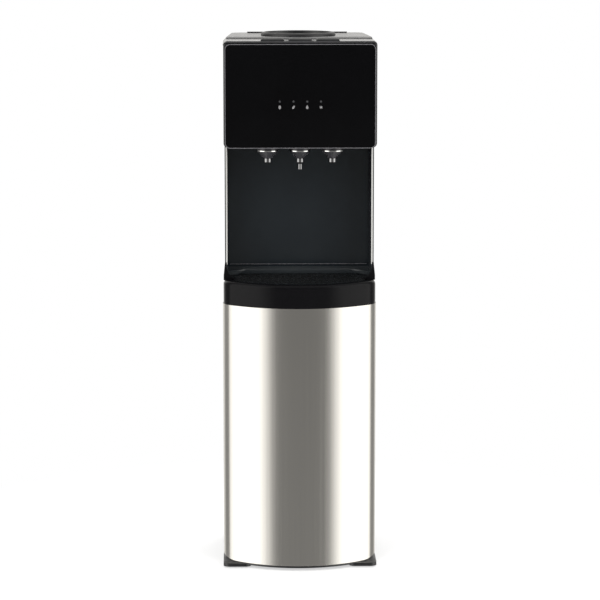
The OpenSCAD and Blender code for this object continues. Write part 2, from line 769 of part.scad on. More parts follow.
// A key has a cap with sloped edges and a finger hollow, and two arms to a boss on the shaft
key_boss_r = 5;
key_boss_w = 34;
cap_edge_h = 3;
cap_slope = [2.5, 4, 2];
key_arm_x = 13;
key_arm_w = 6;
hollow_r = 60;
hollow_edge = 6;
module key(x) color(black) difference() {
    translate([x, 0, 0]) {
        hull() {
            block([-key_w / 2, key_y, pivot_z],
                  [key_w / 2, key_y + key_d, z_deck + key_rise - cap_edge_h]);
            block([cap_slope[0] - key_w / 2, key_y + cap_slope[1], z_deck + key_rise - skin],
                  [key_w / 2 - cap_slope[0], key_y + key_d - cap_slope[2], z_deck + key_rise]);
        }
        for (s = [-1, 1]) translate([s * key_arm_x, 0, pivot_z])
            block([-key_arm_w / 2, key_y + key_d - over, -key_arm_w / 2],
                  [key_arm_w / 2, pivot_y, key_boss_r]);
        translate([0, pivot_y, pivot_z]) x_cylinder(key_boss_r, -key_boss_w / 2, key_boss_w / 2);
    }
    translate([x, pivot_y, pivot_z]) x_cylinder(key_shaft_r + run_gap, -key_w, key_w);
    translate([x, key_y + key_d / 2, z_deck + key_rise + hollow_r - 1])
        x_cylinder(hollow_r, hollow_edge - key_w / 2, key_w / 2 - hollow_edge, $fn = 128);
}

module hot_key() key(key_x[0]);

module ambient_key() key(key_x[1]);

module cold_key() key(key_x[2]);

// Taps with their push rods and return springs
tap_floor = z_hood + hood_wall;
tap_top = z_hood + tap_barrel_h;
tap_in_z = z_hood + 34;
barrel_r = 12;
chamber = [z_hood + 22, z_hood + 50];
seat_r = rod_r + 1.5;
lower_chamber = [z_hood + 5, z_hood + 18];
stub_end = tap_y + 22;
stub_r = 6;
water_r = 3;
plug_r = 7.5;
plug_h = 8.7;
rod_point = 2;
rod_collar = [8, 3];
spring_l = 40;
spring_r = 5.5;
spring_wire = 0.6;
spring_end = spring_wire + 0.1;
spring_turns = 6;
collar_z = tap_top + spring_l;
plug_z = lower_chamber[1] - touch;

module rod(x) color(silicone) translate([x, tap_y, 0]) {
    translate([0, 0, plug_z - plug_h]) cylinder(r = plug_r, h = plug_h);
    translate([0, 0, plug_z - over])
        cylinder(r = rod_r, h = pivot_z - touch - rod_point - plug_z + over);
    translate([0, 0, pivot_z - touch - rod_point])
        cylinder(r1 = rod_r, r2 = rod_r / 2, h = rod_point);
    translate([0, 0, collar_z]) cylinder(r = rod_collar[0], h = rod_collar[1]);
}

module hot_rod() rod(tap_x[0]);

module ambient_rod() rod(tap_x[1]);

module cold_rod() rod(tap_x[2]);

module spring(x) color(zinc) translate([x, tap_y, 0])
    helix(spring_r, spring_wire, tap_top + spring_end, collar_z - spring_end,
          0, spring_turns * 360, 16 * spring_turns, 6);

module hot_spring() spring(tap_x[0]);

module ambient_spring() spring(tap_x[1]);

module cold_spring() spring(tap_x[2]);

tip_z = z_hood - tap_drop;
tip_top = z_hood - tap_drop * 0.7;
tap_flange = [tap_cone_r + 4.5, 3];
tap_wall = 3;
inner_r = 2.7;
inner_bore_r = 1.6;
tap_profile = [
    [0, tip_z], [tap_tip_r - 1, tip_z], [tap_tip_r, tip_z + 1], [tap_tip_r, tip_top],
    [tap_tip_r + 1.5, tip_top + 1], [tap_cone_r, z_hood - 4], [tap_cone_r, tap_floor],
    [tap_flange[0], tap_floor], [tap_flange[0], tap_floor + tap_flange[1]],
    [barrel_r + 2, tap_floor + tap_flange[1]], [barrel_r, tap_floor + tap_flange[1] + 2],
    [barrel_r, tap_top], [0, tap_top]];

module tap(x, inner) color(black) translate([x, tap_y, 0]) difference() {
    union() {
        rotate_extrude() polygon(tap_profile);
        translate([0, 0, tap_in_z]) y_cylinder(stub_r, barrel_r - tap_wall, stub_end - tap_y);
        if (inner > 0) translate([0, 0, tip_z - inner])
            cylinder(r = inner_r, h = inner + tap_wall);
    }
    translate([0, 0, chamber[1] - over])
        cylinder(r = rod_r + run_gap, h = tap_top - chamber[1] + 2 * over);
    translate([0, 0, chamber[0]]) cylinder(r = barrel_r - 4, h = chamber[1] - chamber[0]);
    translate([0, 0, lower_chamber[0]]) cylinder(r = seat_r, h = chamber[1] - lower_chamber[0]);
    translate([0, 0, lower_chamber[0]])
        cylinder(r = barrel_r - tap_wall, h = lower_chamber[1] - lower_chamber[0]);
    translate([0, 0, inner > 0 ? tip_z + tap_wall : tip_z - over])
        cylinder(r = tap_tip_r - tap_wall, h = lower_chamber[0] - tip_z + 2 * over);
    if (inner > 0) translate([0, 0, tip_z - inner - over])
        cylinder(r = inner_bore_r, h = inner + 2 * tap_wall);
    translate([0, 0, tap_in_z]) y_cylinder(water_r, 0, stub_end - tap_y + over);
}

module hot_tap() tap(tap_x[0], 0);

module ambient_tap() tap(tap_x[1], inner_spout);

module cold_tap() tap(tap_x[2], 0);

// Bottle collar and water guard
neck_down = 20;
z_neck = z_rear - neck_down;
collar_seat = z_rear + touch;
collar_in = z_rear - 4;
rim_r = 5;
rim_w = 8;
funnel_r = deck_hole_r - 5;
module about_tank() {
    translate([0, tank_y, 0]) children();
}

module bottle_collar() color(black) about_tank() rotate_extrude($fn = 96) polygon(concat(
    [[deck_hole_r - 1, collar_seat], [collar_r, collar_seat]],
    [for (i = [0:corner_n]) let (a = 90 * i / corner_n)
        [collar_r - rim_r + rim_r * cos(a), z_top - rim_r + rim_r * sin(a)]],
    [[collar_r - rim_w, z_top], [funnel_r, collar_in], [neck_r, z_neck],
     [neck_r, z_neck - neck_l], [neck_r + collar_wall, z_neck - neck_l],
     [neck_r + collar_wall, z_neck - 1], [funnel_r, collar_in - collar_wall],
     [deck_hole_r - 1, collar_in - 1]]));

// The guard has a hollow spike with side slots, on a ring with four spokes
guard_r = 9;
guard_t = 3;
guard_wall = 2;
guard_z = z_neck - neck_l - guard_t;
guard_h = neck_l - 6;
guard_tip = [4, 5];
guard_slot = [8, 20];
module water_guard() color("#dfe3e6") about_tank() difference() {
    union() {
        translate([0, 0, guard_z]) cylinder(r = guard_r, h = guard_h);
        translate([0, 0, guard_z + guard_h])
            cylinder(r1 = guard_r, r2 = guard_r - guard_tip[0], h = guard_tip[1]);
        translate([0, 0, guard_z]) difference() {
            cylinder(r = neck_r + collar_wall, h = guard_t);
            translate([0, 0, -over]) cylinder(r = neck_r - guard_t, h = guard_t + 2 * over);
        }
        for (a = [0:90:270]) rotate(a)
            block([guard_r - over, -guard_wall, guard_z], [neck_r - 1, guard_wall, guard_z + guard_t]);
    }
    translate([0, 0, guard_z - over]) cylinder(r = guard_r - guard_wall, h = guard_h);
    for (a = [45, 135]) rotate(a) block([-guard_r - over, -guard_wall, guard_z + guard_slot[0]],
                                        [guard_r + over, guard_wall, guard_z + guard_slot[1]]);
}

// Cold tank group
seal_t = 4;
tank_z1 = z_rear - deck_t - seal_t;
tank_z0 = tank_z1 - cold_h;
tank_sheet = 1;
lip_t = 2;
lip_r = cold_r + 11;
coil_steps = 24;
coil_r = (cold_r + coil_tube_r + touch) / cos(180 / coil_steps);
foam_in = coil_r + coil_tube_r + touch;
foam_r = foam_in + foam_t;
foam_z = tank_z0 - foam_t;
coil_z = [tank_z0 + 22, tank_z0 + 118];
coil_end = 60;
coil_out = coil_r * cos(coil_end);
coil_back = tank_y + coil_r * sin(coil_end);
hose_r = 4.5;
cold_out_z = tank_z0 + 9;
ambient_out_z = tank_z1 - 20;
feed = [-50, tank_y + 30];
module tank_seal() color("#303030") about_tank() rotate_extrude() polygon([
    [cold_r, tank_z1], [lip_r, tank_z1], [lip_r, tank_z1 + seal_t], [cold_r, tank_z1 + seal_t]]);

module cold_tank() color(steel) difference() {
    about_tank() rotate_extrude($fn = 96) polygon([
        [0, tank_z0], [cold_r, tank_z0], [cold_r, tank_z1 - lip_t], [lip_r, tank_z1 - lip_t],
        [lip_r, tank_z1], [cold_r - tank_sheet, tank_z1], [cold_r - tank_sheet, tank_z0 + tank_sheet],
        [0, tank_z0 + tank_sheet]]);
    translate([0, tank_y, cold_out_z]) x_cylinder(water_r, 0, cold_r + over);
    translate([0, 0, ambient_out_z]) y_cylinder(water_r, tank_y - cold_r - over, tank_y);
    translate([feed[0], feed[1], tank_z0 - over]) cylinder(r = water_r, h = 3 * over);
}

baffle_z = tank_z0 + 100;
baffle_t = 2.5;
baffle_tube = [8, 50];
baffle_bore_r = 6;
baffle_leg = [cold_r - 12, 3];
module tank_baffle() color(silicone) about_tank() difference() {
    union() {
        translate([0, 0, baffle_z]) cylinder(r = cold_r - tank_sheet - touch, h = baffle_t);
        translate([0, 0, baffle_z - baffle_tube[1]])
            cylinder(r = baffle_tube[0], h = baffle_tube[1] + over);
        for (a = [30:120:270]) rotate(a) translate([baffle_leg[0], 0, tank_z0 + tank_sheet])
            cylinder(r = baffle_leg[1], h = baffle_z - tank_z0 - tank_sheet + over);
    }
    translate([0, 0, baffle_z - baffle_tube[1] - over])
        cylinder(r = baffle_bore_r, h = baffle_tube[1] + baffle_t + 2 * over);
}

module evaporator_coil() color(copper) about_tank()
    helix(coil_r, coil_tube_r, coil_z[0], coil_z[1], 180 - coil_end,
          coil_end + 360 * coil_turns, coil_steps * coil_turns, 6);

module tank_foam() color("#e9e2cf") difference() {
    about_tank() difference() {
        translate([0, 0, foam_z]) cylinder(r = foam_r, h = tank_z1 - lip_t - foam_z);
        translate([0, 0, tank_z0]) cylinder(r = foam_in, h = cold_h);
    }
    translate([0, tank_y, cold_out_z]) x_cylinder(hose_r + touch, cold_r, foam_r + over);
    translate([0, 0, ambient_out_z])
        y_cylinder(hose_r + touch, tank_y - foam_r - over, tank_y - cold_r);
    translate([feed[0], feed[1], foam_z - over]) cylinder(r = hose_r + touch, h = foam_t + 2 * over);
    translate([-coil_out, 0, coil_z[0]])
        y_cylinder(pipe_r + touch, coil_back, tank_y + foam_r + over);
    translate([coil_out, 0, coil_z[1]])
        y_cylinder(cap_r + touch, coil_back, tank_y + foam_r + over);
    block([-foam_r, tank_y - foam_r - over, z_sides - touch],
          [foam_r, rear_deck_y + hood_wall + touch, tank_z1]);
}

// Cross plates that carry the tanks between the side panels
hose_x = 125;
lip_h = 12;
plate_t = 2;
lip_w = 1.5;
support_half = 92;
hose_room = 1.5;
module cross_plate(z, y0, y1) {
    block([-inner_w, y0, z - plate_t], [inner_w, y1, z]);
    both_sides() block([inner_w - lip_w, y0, z - lip_h], [inner_w, y1, z - over]);
    block([-inner_w, y0, z - lip_h], [inner_w, y0 + lip_w, z - over]);
}

module hose_hole(x, y, z) {
    translate([x, y, z - plate_t - over])
        cylinder(r = hose_r + hose_room, h = plate_t + 2 * over);
}

module foam_support() color(zinc) difference() {
    cross_plate(foam_z, tank_y - support_half, tank_y + support_half);
    hose_hole(feed[0], feed[1], foam_z);
    hose_hole(-hose_x, hot_y, foam_z);
}

// Hot tank group
hot_x = -70;
hot_y = (alcove_y + back_panel_t + liner_t + rear_y - sheet) / 2;
hot_z1 = z_hood - 65;
hot_z0 = hot_z1 - hot_h;
hot_edge = [6, 4];
heater_up = 20;
heater_h = 60;
jacket_in = hot_r + heater_t + touch;
jacket_r = jacket_in + jacket_t;
jacket_end = 6;
module at_hot() {
    translate([hot_x, hot_y, 0]) children();
}
port_off = 16;
hot_out = [hot_x + port_off, hot_y];
hot_feed = [hot_x - port_off, feed[1]];

module hot_tank() color(steel) at_hot() rotate_extrude() polygon([
    [0, hot_z0], [hot_r - hot_edge[0], hot_z0], [hot_r, hot_z0 + hot_edge[1]],
    [hot_r, hot_z1 - hot_edge[1]], [hot_r - hot_edge[0], hot_z1], [0, hot_z1]]);

module heater_band() color(zinc) at_hot() translate([0, 0, hot_z0 + heater_up]) difference() {
    cylinder(r = hot_r + heater_t, h = heater_h);
    translate([0, 0, -over]) cylinder(r = hot_r, h = heater_h + 2 * over);
}

module hot_tank_jacket() color("#d9d9d6") difference() {
    at_hot() difference() {
        translate([0, 0, hot_z0 - jacket_end]) cylinder(r = jacket_r, h = hot_h + 2 * jacket_end);
        translate([0, 0, hot_z0]) cylinder(r = jacket_in, h = hot_h);
    }
    for (p = [hot_out, hot_feed]) translate([p[0], p[1], hot_z1 - over])
        cylinder(r = hose_r + touch, h = jacket_end + 2 * over);
    translate([hot_x, hot_y, hot_z0 - jacket_end - over])
        cylinder(r = hose_r + touch, h = jacket_end + 2 * over);
}

hot_shelf_back = rear_y - 12;
module hot_tank_shelf() color(zinc) difference() {
    cross_plate(hot_z0 - jacket_end, alcove_y + back_panel_t + liner_t + 1, hot_shelf_back);
    hose_hole(hot_x, hot_y, hot_z0 - jacket_end);
}

// Silicone hoses between the tanks, the taps and the drain
hose_y = stub_end + 20;
hose_bend = 8;
feed_turn = hot_z1 + 50;
hot_turn = hot_z1 + 31;
spigot_in = 12;
module hose(points) {
    pipe(points, hose_r, hose_bend);
}
module water_hoses() color(silicone) {
    hose([[cold_r, tank_y, cold_out_z], [hose_x, tank_y, cold_out_z], [hose_x, tank_y, tap_in_z],
          [hose_x, hose_y, tap_in_z], [tap_pitch, hose_y, tap_in_z], [tap_pitch, stub_end, tap_in_z]]);
    hose([[0, tank_y - cold_r, ambient_out_z], [0, hose_y, ambient_out_z], [0, hose_y, tap_in_z],
          [0, stub_end, tap_in_z]]);
    hose([[hot_out[0], hot_y, hot_z1], [hot_out[0], hot_y, hot_turn], [-hose_x, hot_y, hot_turn],
          [-hose_x, hot_y, tap_in_z], [-hose_x, hose_y, tap_in_z], [-tap_pitch, hose_y, tap_in_z],
          [-tap_pitch, stub_end, tap_in_z]]);
    hose([[feed[0], feed[1], tank_z0], [feed[0], feed[1], feed_turn], [hot_feed[0], feed[1], feed_turn],
          [hot_feed[0], feed[1], hot_z1]]);
    hose([[hot_x, hot_y, hot_z0], [hot_x, hot_y, drain_z],
          [hot_x, rear_y - sheet - spigot_in, drain_z]]);
}

// Compressor and its pipes
comp_z0 = z_panel + 8;
dome = 40;
strap_z = comp_z0 + 8;
grommet_z = z_panel + comp_boss_h;
stub_z = comp_z0 + comp_h + 30;
discharge_x = 30;
dome_n = 12;
seam = [3, 4];
seam_z = comp_z0 + 75;
strap_t = 2.5;
strap_end = [12, 8];
collar_hole_r = 6;
grommet_bore_r = 3.2;
grommet_head = [8, 3.5];
function dome_arc(zc, dir) = [for (i = [0:dome_n])
    let (a = dir > 0 ? 90 * i / dome_n : 90 - 90 * i / dome_n)
    [comp_r * cos(a), zc + dir * dome * sin(a)]];
module compressor() color(black) difference() {
    union() {
        translate([0, comp_y, 0]) rotate_extrude() polygon(concat(
            dome_arc(comp_z0 + dome, -1),
            [[comp_r, seam_z], [comp_r + seam[0], seam_z],
             [comp_r + seam[0], seam_z + seam[1]], [comp_r, seam_z + seam[1]]],
            dome_arc(comp_z0 + comp_h - dome, 1)));
        for (s = [-1, 1]) translate([0, comp_y + s * comp_foot[1], strap_z])
            block([-comp_foot[0] - strap_end[0], -strap_end[1], 0],
                  [comp_foot[0] + strap_end[0], strap_end[1], strap_t]);
        for (x = [-coil_out, discharge_x]) translate([x, comp_y, comp_z0 + comp_h - dome])
            cylinder(r = pipe_r + 1, h = stub_z - comp_z0 - comp_h + dome);
    }
    at_compressor_feet() translate([0, 0, strap_z - over])
        cylinder(r = collar_hole_r + run_gap, h = strap_t + 2 * over);
}

module compressor_grommets() color("#2b2b2b") at_compressor_feet() difference() {
    union() {
        translate([0, 0, grommet_z]) cylinder(r = comp_boss_r, h = strap_z - grommet_z);
        translate([0, 0, grommet_z])
            cylinder(r = collar_hole_r, h = strap_z + strap_t + over - grommet_z);
        translate([0, 0, strap_z + strap_t]) cylinder(r = grommet_head[0], h = grommet_head[1]);
    }
    translate([0, 0, grommet_z - over]) cylinder(r = grommet_bore_r, h = comp_h);
}

relay_half = 20;
relay_x = [-comp_r - 22, 8 - comp_r];
relay_z = [comp_z0 + dome + 4, seam_z - 3];
module relay_cover() color("#3a3b3d") difference() {
    block([relay_x[0], comp_y - relay_half, relay_z[0]],
          [relay_x[1], comp_y + relay_half, relay_z[1]]);
    translate([0, comp_y, 0]) cylinder(r = comp_r + run_gap, h = 2 * comp_h);
}

pipe_wall_gap = 1.2;
pipe_y = rear_y - sheet - pipe_r - pipe_wall_gap;
cond_y = rear_y + cond_off;
cond_z = z_panel + 320;
cond_top = cond_z + (cond_runs - 1) * cond_pitch;
cond_start = cond_z - 25;
riser_x = cond_half_w + 13;
pipe_bend = 8;
suction_turn = stub_z + 36;
module suction_pipe() color(copper) pipe([
    [-coil_out, coil_back + coil_tube_r + 1, coil_z[0]], [-coil_out, pipe_y, coil_z[0]],
    [-coil_out, pipe_y, suction_turn], [-coil_out, comp_y, suction_turn],
    [-coil_out, comp_y, stub_z]], pipe_r, pipe_bend);

discharge_turn = stub_z + 20;
discharge_out = cond_half_w - 5;
module discharge_pipe() color(copper) pipe([
    [discharge_x, comp_y, stub_z], [discharge_x, comp_y, discharge_turn],
    [discharge_out, comp_y, discharge_turn], [discharge_out, cond_y, discharge_turn],
    [riser_x, cond_y, discharge_turn], [riser_x, cond_y, cond_top], [cond_half_w, cond_y, cond_top]],
    pipe_r, pipe_bend);

dryer_y = rear_y - 27;
dryer_z = [stub_z + 12, stub_z + 92];
dryer_r = 9;
dryer_neck = 14;
dryer_up = dryer_z[1] + 16;
cap_bend = 6;
liquid_z = stub_z - 6;
module filter_dryer() color(copper) {
    pipe([[coil_out, coil_back + coil_tube_r, coil_z[1]], [coil_out, pipe_y, coil_z[1]],
          [coil_out, pipe_y, dryer_up], [coil_out, dryer_y, dryer_up],
          [coil_out, dryer_y, dryer_z[1] - over]], cap_r, cap_bend);
    translate([coil_out, dryer_y, 0]) rotate_extrude() polygon([
        [0, dryer_z[0]], [pipe_r + 1, dryer_z[0]], [dryer_r, dryer_z[0] + dryer_neck],
        [dryer_r, dryer_z[1] - dryer_neck], [cap_r + 1, dryer_z[1]], [0, dryer_z[1]]]);
    pipe([[coil_out, dryer_y, dryer_z[0] + over], [coil_out, dryer_y, liquid_z],
          [-cond_half_w, dryer_y, liquid_z], [-cond_half_w, cond_y, liquid_z],
          [-cond_half_w, cond_y, cond_start]], pipe_r, pipe_bend);
}

// Condenser on the back, a serpentine tube between two rows of upright wires
function run_end(i) = (i % 2 == 0 ? 1 : -1) * cond_half_w;
condenser_path = concat([[-cond_half_w, cond_y, cond_start]],
    [for (i = [0:cond_runs - 1], s = [-1, 1]) [s * run_end(i), cond_y, cond_z + i * cond_pitch]]);
module condenser_coil() color(black) pipe(condenser_path, cond_tube_r, cond_pitch / 2);

wire_n = floor((cond_half_w - cond_pitch / 2) / wire_pitch);
wire_y = cond_tube_r + wire_r + touch / 2;
wire_end = 12;
module condenser_wires() color(black) for (i = [-wire_n:wire_n], s = [-1, 1])
    translate([i * wire_pitch, cond_y + s * wire_y, cond_z - wire_end])
        cylinder(r = wire_r, h = cond_top - cond_z + 2 * wire_end, $fn = 16);

// Brackets from the rear panel to a clip round the tube
bracket_w = 7;
bracket_foot = [2, 14];
bracket_up = 2;
bracket_runs = [2, cond_runs - 3];
cond_clip_x = (wire_n - 0.5) * wire_pitch;
module condenser_brackets() color(zinc)
    for (x = [-cond_clip_x, cond_clip_x], i = bracket_runs)
        translate([x, 0, cond_z + i * cond_pitch]) difference() {
            union() {
                block([-bracket_w / 2, rear_y, -bracket_up], [bracket_w / 2, cond_y, bracket_up]);
                block([-bracket_w / 2, rear_y, -bracket_foot[1]],
                      [bracket_w / 2, rear_y + bracket_foot[0], bracket_foot[1]]);
                translate([0, cond_y, 0])
                    x_cylinder(cond_tube_r + clip_t, -bracket_w / 2, bracket_w / 2);
            }
            translate([0, cond_y, 0]) x_cylinder(cond_tube_r + run_gap, -bracket_w, bracket_w);
        }

// Rear fittings
bezel_t = 2;
bezel_w = 4;
bezel_depth = 20;
bezel_wall = switch_hole - touch;
module switch_bezels() color(black) for (x = switch_x) translate([x, 0, switch_z]) difference() {
    union() {
        switch_block(bezel_w, rear_y, rear_y + bezel_t);
        switch_block(bezel_wall, rear_y - bezel_depth, rear_y + bezel_t);
    }
    switch_block(touch, rear_y + bezel_w - bezel_depth, rear_y + 2 * bezel_t);
}

rocker_y = rear_y - 8;
rocker_edge = [4, switch_h / 2 - 1.2];
rocker_tooth = [10.5, switch_h / 2 - 1.8];
rocker_profile = [[-4, -3], [-4, 3], rocker_edge, rocker_tooth, [9, 0],
                  [rocker_tooth[0], -rocker_tooth[1]], [rocker_edge[0], -rocker_edge[1]]];
module rocker(x) color("#b3281e") translate([x, rocker_y, switch_z]) rotate([rocker_tip, 0, 0])
    rotate([90, 0, 90]) translate([0, 0, -switch_w / 2])
        linear_extrude(switch_w) polygon(rocker_profile);

module heat_switch() rocker(switch_x[0]);

module cool_switch() rocker(switch_x[1]);

drain_bore = hose_r;
fitting_flange = [4, 3];
module drain_outlet() color(black) translate([drain_x, 0, drain_z]) difference() {
    union() {
        y_cylinder(drain_r, rear_y - sheet - spigot_in, rear_y + drain_l);
        y_cylinder(drain_r + fitting_flange[0], rear_y, rear_y + fitting_flange[1]);
    }
    y_cylinder(drain_bore, rear_y - sheet - spigot_in - over, rear_y + drain_l + over);
}

// Cap on the drain spigot, with grip grooves round it
cap_in = drain_r + 0.1;
cap_wall = 2.5;
cap_from = rear_y + 6;
groove_r = 1.4;
groove_in = cap_in + cap_wall + 0.6;
module drain_cap() color(black) translate([drain_x, 0, drain_z]) difference() {
    y_cylinder(cap_in + cap_wall, cap_from, rear_y + drain_l + touch + cap_wall);
    y_cylinder(cap_in, cap_from - over, rear_y + drain_l + touch);
    for (a = [0:30:330]) rotate([0, a, 0]) translate([groove_in, 0, 0])
        y_cylinder(groove_r, cap_from + cap_wall, rear_y + drain_l + 2 * cap_wall, $fn = 16);
}

gland_ends = [6, 5];
module cord_gland() color(black) translate([gland_x, 0, gland_z]) difference() {
    union() {
        y_cylinder(gland_bore_r + gland_wall, rear_y - sheet - gland_ends[0], rear_y + gland_ends[1]);
        y_cylinder(gland_bore_r + 2 * gland_wall, rear_y, rear_y + fitting_flange[1]);
    }
    y_cylinder(gland_bore_r, rear_y - 2 * gland_ends[0], rear_y + 2 * gland_ends[1]);
}

base_pan();
rubber_feet();
front_panel();
left_side_panel();
right_side_panel();
rear_panel();
shelf();
drip_tray();
drip_grille();
alcove_liner();
alcove_back_panel();
hood_frame();
fascia_plate();
indicator_lenses();
control_board();
key_deck();
rear_deck();
key_bracket();
key_shaft();
hot_key();
ambient_key();
cold_key();
hot_rod();
ambient_rod();
cold_rod();
hot_spring();
ambient_spring();
cold_spring();
hot_tap();
ambient_tap();
cold_tap();
bottle_collar();
water_guard();
tank_seal();
tank_baffle();
cold_tank();
evaporator_coil();
tank_foam();
foam_support();
hot_tank();
heater_band();
hot_tank_jacket();
hot_tank_shelf();
water_hoses();
compressor();
compressor_grommets();
relay_cover();
suction_pipe();
discharge_pipe();
filter_dryer();
condenser_coil();
condenser_wires();
condenser_brackets();
switch_bezels();
heat_switch();
cool_switch();
drain_outlet();
drain_cap();
cord_gland();
rear_screws();
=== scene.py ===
# Top load water cooler: finishes, fine pieces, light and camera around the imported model.
# Metres, +Z up, the front faces -Y.
import json
from math import asin, copysign, cos, pi, radians, sin

import bmesh
import bpy
from mathutils import Matrix, Vector


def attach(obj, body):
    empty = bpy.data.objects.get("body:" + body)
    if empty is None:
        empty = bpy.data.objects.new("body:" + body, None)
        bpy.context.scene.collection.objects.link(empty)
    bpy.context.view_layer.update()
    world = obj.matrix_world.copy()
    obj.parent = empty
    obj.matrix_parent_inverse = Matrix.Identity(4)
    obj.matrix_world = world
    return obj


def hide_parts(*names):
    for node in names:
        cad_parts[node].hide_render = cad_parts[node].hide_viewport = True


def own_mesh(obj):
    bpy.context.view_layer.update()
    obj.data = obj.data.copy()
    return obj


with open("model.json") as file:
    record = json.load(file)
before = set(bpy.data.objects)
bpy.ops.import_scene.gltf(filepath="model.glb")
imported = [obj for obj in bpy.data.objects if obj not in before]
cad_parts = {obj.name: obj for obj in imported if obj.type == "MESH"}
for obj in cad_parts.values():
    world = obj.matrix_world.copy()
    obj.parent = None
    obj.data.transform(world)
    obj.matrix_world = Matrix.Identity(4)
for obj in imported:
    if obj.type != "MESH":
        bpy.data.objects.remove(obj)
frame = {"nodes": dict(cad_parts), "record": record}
scene = bpy.context.scene
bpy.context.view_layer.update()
nodes = frame["nodes"]
mm = 0.001
print("frame loaded, nodes:", len(nodes))


# Puts a camera or a lamp in its place, turned to what it looks at
def aim(thing, place, target):
    thing.location = place
    thing.rotation_mode = "QUATERNION"
    thing.rotation_quaternion = (Vector(target) - thing.location).to_track_quat("-Z", "Y")
    scene.collection.objects.link(thing)


# Camera at the photograph's angle, from a little left of the middle and above the hood
cameraSettings = {
    "place": (-0.12, -5.169, 1.304),
    "target": (-0.001, -0.169, 0.5461),
    "lens": 154.9,
    "sensor": 36.0,
}


def makeCamera(settings):
    data = bpy.data.cameras.new("camera")
    data.lens = settings["lens"]
    data.sensor_width = settings["sensor"]
    data.dof.use_dof = False
    camera = bpy.data.objects.new("camera", data)
    aim(camera, settings["place"], settings["target"])
    scene.camera = camera


makeCamera(cameraSettings)
scene.view_settings.view_transform = "Standard"
print("camera ready")


# Node helpers: a value that is a socket is linked, any other value is set on the socket
def addNode(tree, kind, inputs=None, **settings):
    node = tree.nodes.new("ShaderNode" + kind)
    for key, value in settings.items():
        setattr(node, key, value)
    for key, value in (inputs or {}).items():
        if isinstance(value, bpy.types.NodeSocket):
            tree.links.new(value, node.inputs[key])
        else:
            node.inputs[key].default_value = value
    return node


def mapRange(tree, value, low, high, toLow, toHigh):
    node = addNode(tree, "MapRange", {
        "Value": value, "From Min": low, "From Max": high, "To Min": toLow, "To Max": toHigh})
    return node.outputs["Result"]


def mathNode(tree, operation, first, second):
    return addNode(tree, "Math", {0: first, 1: second}, operation=operation).outputs[0]


def mixValues(tree, share, first, second):
    return addNode(tree, "Mix", {"Factor": share, "A": first, "B": second}).outputs[0]


# World: a studio with tall soft boxes at both sides, a dim front, grey flanks and a pale rear.
# The angles are degrees round from straight ahead, the heights are those of a unit ray.
studio = {
    "frontHigh": 0.05,
    "frontLow": 0.285,
    "boxLevel": 2.1,
    "flankLevel": 0.34,
    "rearLevel": 1.0,
    "topLevel": 0.75,
    "lowFrom": (-0.06, -0.1),
    "lean": 2.3,
    "boxFrom": (27.5, 54.5),
    "boxTo": (84, 102),
    "rearFrom": (128, 150),
    "topFrom": (0.55, 0.9),
    "warmth": (1.0, 0.985, 0.955),
}


def makeWorld(settings):
    world = bpy.data.worlds.new("studio")
    world.use_nodes = True
    scene.world = world
    tree = world.node_tree
    tree.nodes.clear()
    ray = addNode(tree, "TexCoord").outputs["Generated"]
    parts = addNode(tree, "SeparateXYZ", {0: ray})
    ahead = mathNode(tree, "MULTIPLY", parts.outputs["Y"], -1)
    turned = mathNode(tree, "ARCTAN2", parts.outputs["X"], ahead)
    leant = mathNode(tree, "SUBTRACT", turned, radians(settings["lean"]))
    angle = mathNode(tree, "ABSOLUTE", leant, 0)

    # Goes smoothly from one level to the next while a value crosses its limits
    def blend(value, limits, low, high):
        share = addNode(tree, "MapRange", {
            "Value": value, "From Min": limits[0], "From Max": limits[1]},
            interpolation_type="SMOOTHSTEP").outputs["Result"]
        return mixValues(tree, share, low, high)

    def turn(name):
        return [radians(limit) for limit in settings[name]]

    height = parts.outputs["Z"]
    level = blend(height, settings["lowFrom"], settings["frontHigh"], settings["frontLow"])
    level = blend(angle, turn("boxFrom"), level, settings["boxLevel"])
    level = blend(angle, turn("boxTo"), level, settings["flankLevel"])
    level = blend(angle, turn("rearFrom"), level, settings["rearLevel"])
    level = blend(height, settings["topFrom"], level, settings["topLevel"])
    light = addNode(tree, "Background", {
        "Color": (*settings["warmth"], 1), "Strength": level})
    white = addNode(tree, "Background", {"Color": (1, 1, 1, 1), "Strength": 1.0})
    path = addNode(tree, "LightPath")
    mix = addNode(tree, "MixShader", {
        0: path.outputs["Is Camera Ray"], 1: light.outputs[0], 2: white.outputs[0]})
    out = addNode(tree, "OutputWorld")
    tree.links.new(mix.outputs[0], out.inputs["Surface"])


# Soft lamps that light the matt surfaces, kept out of the reflections
lampTarget = (0, 0, 0.55)
lamps = {
    "keyLamp": {"place": (-1.6, -2.6, 2.3), "size": 1.8, "power": 62},
    "fillLamp": {"place": (1.9, -2.4, 1.7), "size": 1.8, "power": 46},
    "rearLamp": {"place": (0.4, 2.6, 2.1), "size": 2.0, "power": 58},
    "topLamp": {"place": (0.0, -0.3, 3.0), "size": 1.6, "power": 30},
}


def makeLamp(name, settings):
    data = bpy.data.lights.new(name, "AREA")
    data.shape = "SQUARE"
    data.size = settings["size"]
    data.energy = settings["power"]
    lamp = bpy.data.objects.new(name, data)
    lamp.visible_glossy = False
    aim(lamp, settings["place"], lampTarget)


# A pale floor that is white to the camera away from the cooler and keeps the shadow under it
floorSettings = {
    "reach": 12.0, "colour": (0.86, 0.86, 0.86, 1), "nearGlow": 0.55, "farGlow": 1.0,
    "near": 0.15, "far": 0.9}


